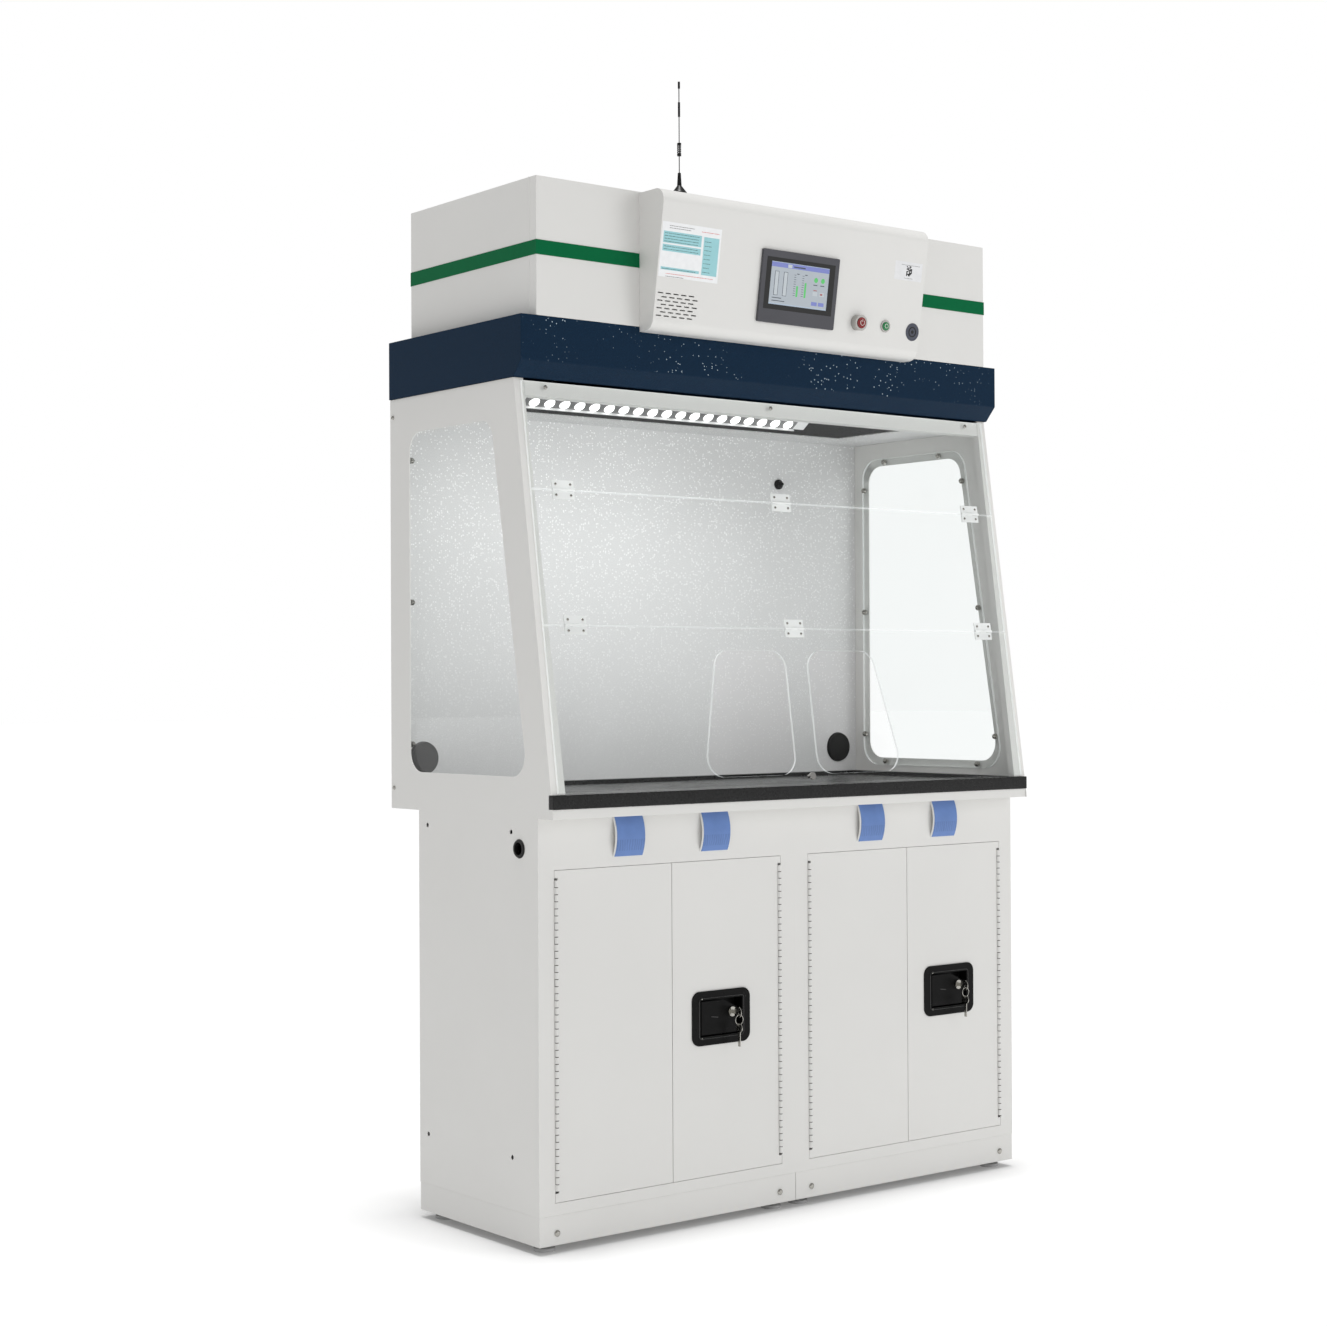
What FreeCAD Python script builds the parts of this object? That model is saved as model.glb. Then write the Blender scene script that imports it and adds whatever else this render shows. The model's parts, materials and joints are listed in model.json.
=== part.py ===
"""Ductless fume hood: a glazed work chamber with a folding acrylic sash and a filter housing above
it, standing on two double-door storage cabinets.

The origin is the middle of the footprint at floor level, +X runs to the user's right, +Y to the
back and +Z up. All sizes are millimetres and every sub-part reads them from the sheet named Sizes.
"""
import FreeCAD, Part
import Sketcher
import math
import os
import re
from FreeCAD import Placement, Rotation, Vector

# ---------------------------------------------------------------- driving dimensions
DIMENSIONS = {
    # whole hood
    "hood_width": 1250,
    "rear_y": 286,
    "base_height": 801,
    "gauge": 2,
    # base cabinets
    "cabinet_front_y": -225,
    "cabinet_depth": 408,
    "foot_height": 15,
    "plinth_height": 55,
    "foot_inset": 36,
    "foot_radius": 20,
    "stud_radius": 5,
    "side_hole_radius": 4.5,
    "side_hole_front_y": -138,
    "side_hole_pitch_y": 290,
    "side_hole_low_z": 168,
    "side_hole_pitch_z": 605,
    "grommet_y": -165,
    "grommet_z": 743,
    "grommet_radius": 18,
    "shelf_z": 395,
    "shelf_depth": 350,
    "shelf_thickness": 20,
    # doors and their piano hinges
    "door_low_z": 93,
    "door_height": 611,
    "door_depth": 18,
    "door_gauge": 1.5,
    "door_gap": 1.4,
    "door_edge_gap": 0.8,
    "hinge_offset": 272.5,
    "hinge_gap": 8,
    "hinge_length": 572,
    "hinge_low_z": 114,
    "hinge_pitch": 26,
    "hinge_end_gap": 4,
    "barrel_radius": 3.5,
    "pin_radius": 1.5,
    "leaf_thickness": 1.5,
    "leaf_depth": 14,
    # paddle latches
    "latch_offset": 120,
    "latch_z": 399,
    "latch_width": 145,
    "latch_height": 105,
    "latch_corner": 18,
    "recess_width": 105,
    "recess_height": 71,
    "recess_depth": 20,
    "paddle_length": 88,
    "paddle_height": 65,
    "lock_offset_x": 26.5,
    "lock_offset_z": 8,
    "lock_radius": 8,
    "bolt_reach": 59,
    "bolt_length": 44,
    "bolt_height": 15,
    "key_bow_radius": 11,
    "key_thickness": 1.8,
    "key_ring_radius": 9.5,
    "hung_key_drop": 30,
    # label holders under the chamber
    "label_offset": 105,
    "label_width": 72,
    "label_height": 78,
    "label_bulge": 10,
    # work chamber
    "chamber_height": 819,
    "sash_foot_y": -274,
    "sash_head_y": -152,
    "post_foot_width": 33,
    "post_head_width": 22,
    "post_depth": 15,
    "liner_gap": 25,
    "ceiling_z": 1600,
    "worktop_z": 819,
    "worktop_thickness": 26,
    "worktop_rim": 22,
    "worktop_recess": 8,
    "nosing_depth": 14,
    # side windows
    "window_thickness": 5,
    "window_overlap": 16,
    "window_corner": 40,
    "window_low_z": 876,
    "window_high_z": 1548,
    "window_rear_y": 214,
    "window_foot_y": -191,
    "window_head_y": -76,
    "cap_nut_radius": 6,
    # sash, measured up the slope from the chamber's lower front edge
    "sash_width": 1222,
    "sash_thickness": 5,
    "sash_standoff": 0.5,
    "sash_gap": 2,
    "sash_low": 47,
    "lower_hinge_row": 359,
    "upper_hinge_row": 616,
    "sash_top": 822,
    "header_low": 795,
    "sash_hinge_spacing": 540,
    "sash_hinge_width": 50,
    "sash_hinge_height": 36,
    "sash_hinge_leaf": 2,
    "sash_barrel_radius": 2.5,
    "sash_pin_radius": 1,
    "arm_hole_low": 66,
    "arm_hole_high": 315,
    "arm_hole_inner": 29,
    "arm_hole_shoulder": 206,
    "arm_hole_outer": 262,
    "arm_hole_corner": 38,
    # lamp
    "lamp_left": -558,
    "lamp_length": 690,
    "lamp_y": -89,
    "lamp_depth": 30,
    "lamp_z": 1588,
    "lamp_thickness": 3,
    "lamp_tilt": 36,
    "lamp_lip": 6,
    "lens_count": 19,
    "lens_pitch": 35.7,
    "lens_radius": 12.5,
    # rear wall fittings
    "port_x": 565,
    "port_z": 900,
    "port_radius": 30,
    "cap_radius": 34,
    "sensor_x": 385,
    "sensor_z": 1500,
    # band and filter housing
    "band_width": 1258,
    "band_height": 115,
    "band_front_y": -183,
    "band_rear_y": 284,
    "band_chamfer_y": 26,
    "band_chamfer_z": 30,
    "housing_width": 1188,
    "housing_front_y": -183,
    "housing_rear_y": 255,
    "housing_height": 261,
    "stripe_low_z": 1848.5,
    "stripe_height": 27.5,
    "stripe_thickness": 1,
    "outlet_length": 480,
    "outlet_width": 250,
    "outlet_columns": 24,
    "outlet_slot": 12,
    "cable_pass_width": 60,
    "cable_pass_low": 100,
    "gland_inset": 90,
    "gland_height": 70,
    "gland_radius": 10,
    "filter_opening_length": 950,
    "filter_opening_front_y": -45,
    "filter_opening_width": 202,
    "filter_border": 20,
    "prefilter_height": 25,
    "carbon_height": 100,
    # fan
    "fan_y": 30,
    "fan_plate_z": 1765,
    "impeller_radius": 125,
    "impeller_eye": 85,
    "impeller_height": 70,
    "blade_count": 9,
    "blade_thickness": 2.5,
    "motor_radius": 45,
    "motor_height": 41,
    "shaft_radius": 6,
    "bridge_width": 40,
    "bridge_thickness": 3,
    # control box
    "box_width": 704,
    "box_low_z": 1725,
    "box_high_z": 1993,
    "box_foot_y": -222,
    "box_head_y": -264,
    "box_bend": 24,
    "panel_width": 203,
    "panel_height": 143,
    "panel_x": 4,
    "panel_low": 40,
    "screen_width": 154,
    "screen_height": 84,
    "button_row": 62,
    "power_button_x": 172,
    "power_collar_radius": 16,
    "power_collar_depth": 15,
    "start_button_x": 252,
    "start_collar_radius": 12.5,
    "start_collar_depth": 2.5,
    "button_hole_radius": 11,
    "slot_rows": 7,
    "slot_columns": 5,
    "slot_length": 13,
    "slot_height": 2.2,
    "slot_pitch_x": 19,
    "slot_pitch_z": 7.2,
    "slot_left": -346,
    "slot_low": 27,
    # antenna
    "antenna_x": -277,
    "antenna_y": -214,
    "antenna_base_radius": 14.5,
    "antenna_height": 220,
    "coil_low": 76,
    "coil_length": 22,
    "coil_collar": 3,
}

DEEP = 2000      # reach of a cutting tool that has to pass right through
document = FreeCAD.newDocument("FumeHood")
sheet = document.addObject("Spreadsheet::Sheet", "Sizes")
parts = []


def fill_sheet():
    """Write each driving dimension as a plain number in a cell with its name as the alias."""
    for row, (name, number) in enumerate(DIMENSIONS.items(), start=1):
        sheet.set("A%d" % row, name)
        sheet.set("B%d" % row, str(number))
        sheet.setAlias("B%d" % row, name)
    document.recompute()


# ---------------------------------------------------------------- reading and binding sizes
def formula(text):
    """The text with each dimension's name pointed at its cell."""
    return re.sub(r"[a-z_]+", lambda m: "Sizes." + m.group() if m.group() in DIMENSIONS else m.group(),
                  str(text))


def size(text):
    """The number that a formula over the dimensions gives."""
    return float(sheet.evalExpression(formula(text)))


def bind(item, **formulas):
    """Tie properties of an object to formulas over the dimensions."""
    for name, text in formulas.items():
        item.setExpression(name, formula(text))


def place(item, x=0, y=0, z=0, turn=None):
    """Put an object at a bound position, turned first when a rotation is given."""
    if turn is not None:
        item.Placement = Placement(Vector(0, 0, 0), turn)
    for axis, text in zip("xyz", (x, y, z)):
        if text != 0:
            item.setExpression("Placement.Base." + axis, formula(text))
    return item


# ---------------------------------------------------------------- shapes
ALONG = {
    "x": Rotation(Vector(0, 1, 0), 90),
    "-x": Rotation(Vector(0, 1, 0), -90),
    "y": Rotation(Vector(1, 0, 0), -90),
    "-y": Rotation(Vector(1, 0, 0), 90),
    "z": Rotation(),
}


def box(x, y, z, length, width, height):
    """A box from its low corner and its three sizes."""
    item = document.addObject("Part::Box", "Block")
    bind(item, Length=length, Width=width, Height=height)
    return place(item, x, y, z)


def cylinder(x, y, z, radius, height, along="z"):
    """A cylinder from the middle of its start face, running along an axis."""
    item = document.addObject("Part::Cylinder", "Round")
    bind(item, Radius=radius, Height=height)
    return place(item, x, y, z, ALONG[along])


def cone(x, y, z, start_radius, end_radius, height, along="z"):
    """A truncated cone from the middle of its start face, running along an axis."""
    item = document.addObject("Part::Cone", "Taper")
    bind(item, Radius1=start_radius, Radius2=end_radius, Height=height)
    return place(item, x, y, z, ALONG[along])


def sphere(x, y, z, radius):
    """A ball."""
    item = document.addObject("Part::Sphere", "Ball")
    bind(item, Radius=radius)
    return place(item, x, y, z)


def ring(x, y, z, radius, wire, along="z"):
    """A torus whose axis runs along one of the frame's axes."""
    item = document.addObject("Part::Torus", "Ring")
    bind(item, Radius1=radius, Radius2=wire)
    return place(item, x, y, z, ALONG[along])


def outline(body, points, plane, offset):
    """A closed sketch of straight lines whose corners are all bound to formulas."""
    sketch = body.newObject("Sketcher::SketchObject", "Outline")
    support = [f for f in body.Origin.OriginFeatures if f.Role == plane + "_Plane"][0]
    sketch.AttachmentSupport = [(support, "")]
    sketch.MapMode = "FlatFace"
    sketch.setExpression("AttachmentOffset.Base.z", formula(offset))
    corners = [Vector(size(a), size(b), 0) for a, b in points]
    count = len(corners)
    for i in range(count):
        sketch.addGeometry(Part.LineSegment(corners[i], corners[(i + 1) % count]), False)
    for i in range(count):
        sketch.addConstraint(Sketcher.Constraint("Coincident", i, 2, (i + 1) % count, 1))
    for i, (a, b) in enumerate(points):
        for kind, text in (("DistanceX", a), ("DistanceY", b)):
            index = sketch.addConstraint(Sketcher.Constraint(kind, -1, 1, i, 1, size(text)))
            sketch.setExpression("Constraints[%d]" % index, formula(text))
    return sketch


def corner_edges(shape, direction, corners):
    """Names of a prism's edges that run along its direction, at the numbered corners if given."""
    names = []
    for number, edge in enumerate(shape.Edges, start=1):
        run = edge.Vertexes[-1].Point - edge.Vertexes[0].Point
        if run.Length < 0.5 or abs(abs(run.normalize().dot(direction)) - 1) > 1e-6:
            continue
        start = edge.Vertexes[0].Point
        flat = start - direction * start.dot(direction)
        if corners is None or min((flat - c).Length for c in corners) < 0.01:
            names.append("Edge%d" % number)
    return names


NORMALS = {"XY": Vector(0, 0, 1), "XZ": Vector(0, -1, 0), "YZ": Vector(1, 0, 0)}


def prism(plane, points, start, length, corner=None, rounded=None):
    """A pad of a polygon between two positions on the axis square to its plane.

    corner is the radius of the edges along the pad, and rounded lists the corners that get it.
    """
    body = document.addObject("PartDesign::Body", "Profile")
    offset = "-(%s)-(%s)" % (start, length) if plane == "XZ" else start
    sketch = outline(body, points, plane, offset)
    pad = body.newObject("PartDesign::Pad", "Pad")
    pad.Profile = sketch
    bind(pad, Length=length)
    sketch.Visibility = False
    document.recompute()
    if corner is not None:
        fillet = body.newObject("PartDesign::Fillet", "Corners")
        chosen = None
        if rounded is not None:
            chosen = [on_plane(plane, points[i]) for i in rounded]
        fillet.Base = (pad, corner_edges(pad.Shape, NORMALS[plane], chosen))
        bind(fillet, Radius=corner)
        document.recompute()
    return body


def on_plane(plane, point):
    """A sketch point as a vector in the frame, with nothing along the plane's normal."""
    a = size(point[0])
    b = size(point[1])
    return {"XY": Vector(a, b, 0), "XZ": Vector(a, 0, b), "YZ": Vector(0, a, b)}[plane]


def rectangle(x, z, width, height):
    """Corners of a rectangle from its low corner."""
    right = "%s+%s" % (x, width)
    top = "%s+%s" % (z, height)
    return [(x, z), (right, z), (right, top), (x, top)]


# ---------------------------------------------------------------- joining and naming
def fuse(*items):
    """One solid from overlapping or touching pieces."""
    joined = document.addObject("Part::MultiFuse", "Joined")
    joined.Shapes = list(items)
    joined.Refine = True
    return joined


def cut(base, *tools):
    """The base with the tools taken away."""
    tool = tools[0]
    if len(tools) > 1:
        tool = document.addObject("Part::Compound", "Tools")
        tool.Links = list(tools)
    result = document.addObject("Part::Cut", "Cut")
    result.Base = base
    result.Tool = tool
    return result


def common(first, second):
    """What two pieces share."""
    result = document.addObject("Part::Common", "Common")
    result.Base = first
    result.Tool = second
    return result


def group(items):
    """Several separate solids that make one sub-part."""
    compound = document.addObject("Part::Compound", "Set")
    compound.Links = list(items)
    return compound


def keep(label, item):
    """Name a finished sub-part and list it for export."""
    item.Label = label
    parts.append(item)
    return item


# ---------------------------------------------------------------- leaning frames
def slope_turn():
    """Rotation that leans an upright piece back onto the sash plane."""
    run = size("sash_head_y-sash_foot_y")
    return Rotation(Vector(1, 0, 0), -math.degrees(math.atan2(run, size("chamber_height"))))


def on_slope(item):
    """Stand a piece drawn in sash coordinates on the sash plane.

    Sash coordinates are x, depth into the chamber and distance up the slope.
    """
    leaning = group([item])
    leaning.Placement = Placement(Vector(0, size("sash_foot_y"), size("base_height")), slope_turn())
    return leaning


def panel_turn():
    """Rotation that tips an upright piece onto the control box's front."""
    run = size("box_foot_y-box_head_y")
    return Rotation(Vector(1, 0, 0), math.degrees(math.atan2(run, size("box_high_z-box_low_z"))))


def on_panel(item):
    """Stand a piece drawn in panel coordinates on the control box's front.

    Panel coordinates are x, depth into the box and distance up the face.
    """
    leaning = group([item])
    leaning.Placement = Placement(Vector(0, size("box_foot_y"), size("box_low_z")), panel_turn())
    return leaning


# ---------------------------------------------------------------- base cabinets
CABINETS = {"left": -1, "right": 1}
CABINET_TOP = "base_height"
CABINET_LOW = "(foot_height+plinth_height)"
CABINET_REAR = "(cabinet_front_y+cabinet_depth)"


def cabinet_centre(side):
    """Formula for the middle of a cabinet across the hood."""
    return "(%d*hood_width/4)" % CABINETS[side]


def cabinet_shell(side):
    """Folded carcass with a framed door opening, and bolt holes through both its side walls."""
    middle = cabinet_centre(side)
    left = middle + "-hood_width/4"
    height = "%s-%s" % (CABINET_TOP, CABINET_LOW)
    carcass = box(left, "cabinet_front_y", CABINET_LOW, "hood_width/2", "cabinet_depth", height)
    cavity = box(left + "+gauge", "cabinet_front_y+gauge", CABINET_LOW + "+gauge",
                 "hood_width/2-2*gauge", "cabinet_depth-2*gauge", height + "-2*gauge")
    half_opening = "(hinge_offset+hinge_gap/2)"
    opening = box("%s-%s" % (middle, half_opening), "cabinet_front_y-gauge", "door_low_z-door_edge_gap",
                  "2*" + half_opening, "3*gauge", "door_height+2*door_edge_gap")
    holes = [cylinder(left + "-gauge", "side_hole_front_y+%d*side_hole_pitch_y" % i,
                      "side_hole_low_z+%d*side_hole_pitch_z" % j,
                      "side_hole_radius", "hood_width/2+2*gauge", "x") for i in (0, 1) for j in (0, 1)]
    outer_wall = "%d*hood_width/2-2*gauge" % CABINETS[side]
    cable_hole = cylinder(outer_wall, "grommet_y", "grommet_z", "grommet_radius-3", "4*gauge", "x")
    shell = cut(carcass, cavity, opening, cable_hole, *holes)
    jambs = [box("%s+%d*%s%s" % (middle, edge, half_opening, "-gauge" if edge < 0 else ""),
                 "cabinet_front_y+gauge/2", "door_low_z-door_edge_gap",
                 "gauge", "leaf_depth+gauge", "door_height+2*door_edge_gap") for edge in (-1, 1)]
    keep(side + "_cabinet_shell", fuse(shell, *jambs))


def plinths():
    """A folded plinth ring under each cabinet."""
    seam = 0.5
    rings = []
    for side in CABINETS:
        left = "%s-hood_width/4+%s" % (cabinet_centre(side), seam)
        outer = box(left, "cabinet_front_y+%s" % seam, "foot_height",
                    "hood_width/2-2*%s" % seam, "cabinet_depth-2*%s" % seam, "plinth_height")
        inner = box(left + "+gauge", "cabinet_front_y+%s+gauge" % seam, "foot_height-gauge",
                    "hood_width/2-2*%s-2*gauge" % seam, "cabinet_depth-2*%s-2*gauge" % seam,
                    "plinth_height+2*gauge")
        rings.append(cut(outer, inner))
    keep("plinths", group(rings))


def shelves():
    """A folded shelf pan in each cabinet, carried between its side walls."""
    pans = []
    for side in CABINETS:
        left = "%s-hood_width/4+gauge" % cabinet_centre(side)
        front = "%s-gauge-shelf_depth" % CABINET_REAR
        pan = box(left, front, "shelf_z", "hood_width/2-2*gauge", "shelf_depth", "shelf_thickness")
        hollow = box(left + "+gauge", front + "+gauge", "shelf_z-gauge",
                     "hood_width/2-4*gauge", "shelf_depth-2*gauge", "shelf_thickness")
        pans.append(cut(pan, hollow))
    keep("shelves", group(pans))


def levelling_feet():
    """Eight adjustable feet whose studs reach the cabinet floors."""
    feet = []
    pad_height = 6
    hub_height = 5
    for side in CABINETS:
        for across in (-1, 1):
            for y in ("cabinet_front_y+foot_inset", CABINET_REAR + "-foot_inset"):
                x = "%s+%d*(hood_width/4-foot_inset)" % (cabinet_centre(side), across)
                pad = cylinder(x, y, 0, "foot_radius", pad_height)
                hub = cone(x, y, pad_height, "foot_radius", "stud_radius+4", hub_height)
                stud = cylinder(x, y, pad_height + hub_height, "stud_radius",
                                "%s-%s" % (CABINET_LOW, pad_height + hub_height))
                nut = cylinder(x, y, "%s-8" % CABINET_LOW, "stud_radius+4", 8)
                feet.append(fuse(pad, hub, stud, nut))
    keep("levelling_feet", group(feet))


def side_grommets():
    """A black cable grommet in each outer side wall."""
    rims = []
    for side, sign in CABINETS.items():
        along = "x" if sign > 0 else "-x"
        wall = "%d*(hood_width/2)" % sign
        rim = cone(wall, "grommet_y", "grommet_z", "grommet_radius", "grommet_radius-2", 3, along)
        sleeve = cylinder("%d*(hood_width/2-3*gauge)" % sign, "grommet_y", "grommet_z",
                          "grommet_radius-3", "3*gauge", along)
        bore = cylinder("%d*(hood_width/2-4*gauge)" % sign, "grommet_y", "grommet_z",
                        "grommet_radius-6", "8*gauge", along)
        rims.append(cut(fuse(rim, sleeve), bore))
    keep("side_grommets", group(rims))


# ---------------------------------------------------------------- doors and hinges
DOORS = {
    "left_outer_door": ("left", -1),
    "left_inner_door": ("left", 1),
    "right_inner_door": ("right", -1),
    "right_outer_door": ("right", 1),
}
LATCHES = {"left": "left_inner_door", "right": "right_outer_door"}


def hinge_x(door):
    """Formula for a door's hinge axis across the hood."""
    side, hand = DOORS[door]
    return "(%s+%d*hinge_offset)" % (cabinet_centre(side), hand)


HINGE_Y = "(cabinet_front_y-1)"


def knuckle_gaps(axis_x, first):
    """Blocks that clear every second knuckle of a hinge leaf, from the first or the second."""
    clearance = 0.25
    half = "(hinge_pitch/2)"
    gaps = []
    for i in range(int(size("hinge_length/hinge_pitch"))):
        low = "hinge_low_z+%d*hinge_pitch+%d*%s-%s" % (i, first, half, clearance)
        gaps.append(box(axis_x + "-4.2", HINGE_Y + "-5", low, 8.4, 9.2, "%s+2*%s" % (half, clearance)))
    return gaps


def hinge_plate(axis_x, toward):
    """Leaf of a piano hinge standing back from its barrel, on one side of the axis."""
    near = "%s%s" % (axis_x, "+hinge_gap/2-leaf_thickness" if toward > 0 else "-hinge_gap/2")
    return box(near, HINGE_Y, "hinge_low_z", "leaf_thickness", "leaf_depth", "hinge_length")


def frame_leaf(door):
    """Frame side of a piano hinge, with the pin fixed in its knuckles."""
    axis_x = hinge_x(door)
    barrel = cylinder(axis_x, HINGE_Y, "hinge_low_z", "barrel_radius", "hinge_length")
    leaf = fuse(barrel, hinge_plate(axis_x, DOORS[door][1]))
    pin = cylinder(axis_x, HINGE_Y, "hinge_low_z", "pin_radius", "hinge_length")
    return fuse(cut(leaf, *knuckle_gaps(axis_x, 1)), pin)


def door_leaf(door):
    """Door side of a piano hinge, bored to turn on the pin."""
    axis_x = hinge_x(door)
    barrel = cylinder(axis_x, HINGE_Y, "hinge_low_z", "barrel_radius", "hinge_length")
    leaf = fuse(barrel, hinge_plate(axis_x, -DOORS[door][1]))
    bore = cylinder(axis_x, HINGE_Y, "hinge_low_z-1", "pin_radius+0.08", "hinge_length+2")
    return cut(leaf, bore, *knuckle_gaps(axis_x, 0))


def door_hinge_frame_leaves():
    """The four frame leaves of the door hinges with their pins."""
    keep("door_hinge_frame_leaves", group([frame_leaf(door) for door in DOORS]))


def door(name):
    """Folded door pan with its hinge leaf, cut out for a latch where it carries one.

    Small tongues of its skin close the hinge gap above and below the hinge.
    """
    side, hand = DOORS[name]
    width = "(hinge_offset-hinge_gap/2-door_gap/2)"
    middle = cabinet_centre(side)
    left = middle + ("+door_gap/2" if hand > 0 else "-door_gap/2-" + width)
    skin = box(left, "cabinet_front_y", "door_low_z", width, "door_depth", "door_height")
    hollow = box(left + "+door_gauge", "cabinet_front_y+door_gauge", "door_low_z+door_gauge",
                 width + "-2*door_gauge", "door_depth", "door_height-2*door_gauge")
    tongue_x = "%s%s" % (middle, "+hinge_offset-hinge_gap/2" if hand > 0
                         else "-hinge_offset-hinge_gap/2+door_edge_gap")
    tongue_width = "hinge_gap-door_edge_gap"
    high_z = "hinge_low_z+hinge_length+hinge_end_gap"
    tongues = [box(tongue_x, "cabinet_front_y", "door_low_z", tongue_width, "door_gauge",
                   "hinge_low_z-hinge_end_gap-door_low_z"),
               box(tongue_x, "cabinet_front_y", high_z, tongue_width, "door_gauge",
                   "door_low_z+door_height-(%s)" % high_z)]
    tools = [hollow]
    if name in LATCHES.values():
        tools.append(box(middle + "+latch_offset-recess_width/2-gauge", "cabinet_front_y-gauge",
                         "latch_z-recess_height/2-gauge", "recess_width+2*gauge", "4*gauge",
                         "recess_height+2*gauge"))
    keep(name, group([cut(fuse(skin, *tongues), *tools), door_leaf(name)]))


# ---------------------------------------------------------------- paddle latches
PIVOT_Y = "(cabinet_front_y+5)"


def latch_x(side):
    """Formula for the middle of a latch across the hood."""
    return "(%s+latch_offset)" % cabinet_centre(side)


def pivot_x(side):
    """Formula for a paddle's pivot across the hood."""
    return "(%s-recess_width/2+4)" % latch_x(side)


def latch_dish(side):
    """Flush dish with rounded flange, pivot holes and the guide of the bolt behind it."""
    middle = latch_x(side)
    flange = prism("XZ", rectangle(middle + "-latch_width/2", "latch_z-latch_height/2",
                                   "latch_width", "latch_height"),
                   "cabinet_front_y-2.5", 2.5, corner="latch_corner")
    tub = box(middle + "-recess_width/2-gauge", "cabinet_front_y-gauge/2",
              "latch_z-recess_height/2-gauge", "recess_width+2*gauge", "recess_depth+gauge*3/2",
              "recess_height+2*gauge")
    recess = box(middle + "-recess_width/2", "cabinet_front_y-2*gauge", "latch_z-recess_height/2",
                 "recess_width", "recess_depth+2*gauge", "recess_height")
    pivots = cylinder(pivot_x(side), PIVOT_Y, "latch_z-recess_height/2-4", "pin_radius+0.58",
                      "recess_height+8")
    arm_left = middle + "-recess_width/2-48"
    half_arm = 14
    rail_height = 6
    arm = box(arm_left, "cabinet_front_y+17", "latch_z-%d" % half_arm, 50, 2, 2 * half_arm)
    rails = [box(arm_left, "cabinet_front_y+8", "latch_z+%d" % z, 20, 10, rail_height)
             for z in (-half_arm, half_arm - rail_height)]
    dish = fuse(cut(fuse(flange, tub), recess, pivots), arm, *rails)
    keep(side + "_latch_dish", dish)


def latch_paddle(side):
    """Paddle on its pivot pin, notched at the free corner and bored for the lock."""
    low = "latch_z-paddle_height/2"
    corner = 16
    plate = prism("XZ", [(pivot_x(side), low),
                         (pivot_x(side) + "+paddle_length", low),
                         (pivot_x(side) + "+paddle_length", "latch_z+paddle_height/2-%d" % corner),
                         (pivot_x(side) + "+paddle_length-%d" % (2 * corner), "latch_z+paddle_height/2"),
                         (pivot_x(side), "latch_z+paddle_height/2")],
                  "cabinet_front_y-0.5", 4)
    boss = cylinder(pivot_x(side), PIVOT_Y, low, "barrel_radius", "paddle_height")
    pin = cylinder(pivot_x(side), PIVOT_Y, "latch_z-recess_height/2-gauge", "pin_radius+0.5",
                   "recess_height+2*gauge")
    bore = cylinder(latch_x(side) + "+lock_offset_x", "cabinet_front_y-3", "latch_z+lock_offset_z",
                    "lock_radius+0.35", 10, "y")
    keep(side + "_latch_paddle", cut(fuse(plate, boss, pin), bore))


def latch_bolt(side):
    """Sliding bolt behind the door skin, with a sloped nose."""
    tip = latch_x(side) + "-recess_width/2-bolt_reach"
    front = "cabinet_front_y+9"
    rear = "cabinet_front_y+15"
    bolt = prism("XY", [(tip, rear), (tip + "+6", front), (tip + "+bolt_length", front),
                        (tip + "+bolt_length", rear)], "latch_z-bolt_height/2", "bolt_height")
    keep(side + "_latch_bolt", bolt)


def lock_with_keys(side):
    """Lock plug with one key in it and a second key hanging on the ring."""
    x = latch_x(side) + "+lock_offset_x"
    z = "latch_z+lock_offset_z"
    face = "cabinet_front_y-4.5"
    rim = cylinder(x, face, z, "lock_radius+1.5", 3.5, "y")
    barrel = cylinder(x, face + "+3", z, "lock_radius", 16, "y")
    slot = box(x + "-1", face + "-1", z + "-4", 2, 3, 8)
    plug = cut(fuse(rim, barrel), slot)
    key_side = x + "-key_thickness/2"
    eye_side = x + "-2"
    ring_y = face + "-20"
    stem = box(key_side, face + "-8", z + "-3.5", "key_thickness", 9.8, 7)
    bow = cylinder(key_side, face + "-16", z, "key_bow_radius", "key_thickness", "x")
    key = cut(fuse(stem, bow), cylinder(eye_side, ring_y, z + "-4", 3, 4, "x"))
    loop = ring(x, ring_y, z + "-14", "key_ring_radius", 0.8, "y")
    hung_z = z + "-hung_key_drop"
    hung_bow = cylinder(key_side, ring_y, hung_z, "key_bow_radius-2", "key_thickness", "x")
    hung_blade = box(key_side, face + "-23", hung_z + "-36", "key_thickness", 6, 30)
    hung_key = cut(fuse(hung_bow, hung_blade), cylinder(eye_side, ring_y, hung_z + "+6", 2.6, 4, "x"))
    keep(side + "_lock_with_keys", group([plug, key, loop, hung_key]))


# ---------------------------------------------------------------- label holders
def curved_strip(x, outer_offset, thickness, width, height):
    """Strip bowed out about X, standing on the cabinet's front."""
    radius = "((label_height^2/4+label_bulge^2)/(2*label_bulge))"
    y = "cabinet_front_y-label_bulge+%s" % radius
    z = "(base_height-label_height/2-1)"
    start = "%s-(%s)/2" % (x, width)
    outside = cylinder(start, y, z, "%s+%s" % (radius, outer_offset), width, "x")
    inside = cylinder(start + "-1", y, z, "%s+%s-%s" % (radius, outer_offset, thickness),
                      width + "+2", "x")
    window = box(start, "cabinet_front_y-3*label_bulge", "%s-(%s)/2" % (z, height), width,
                 "3*label_bulge", height)
    return common(cut(outside, inside), window)


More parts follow.
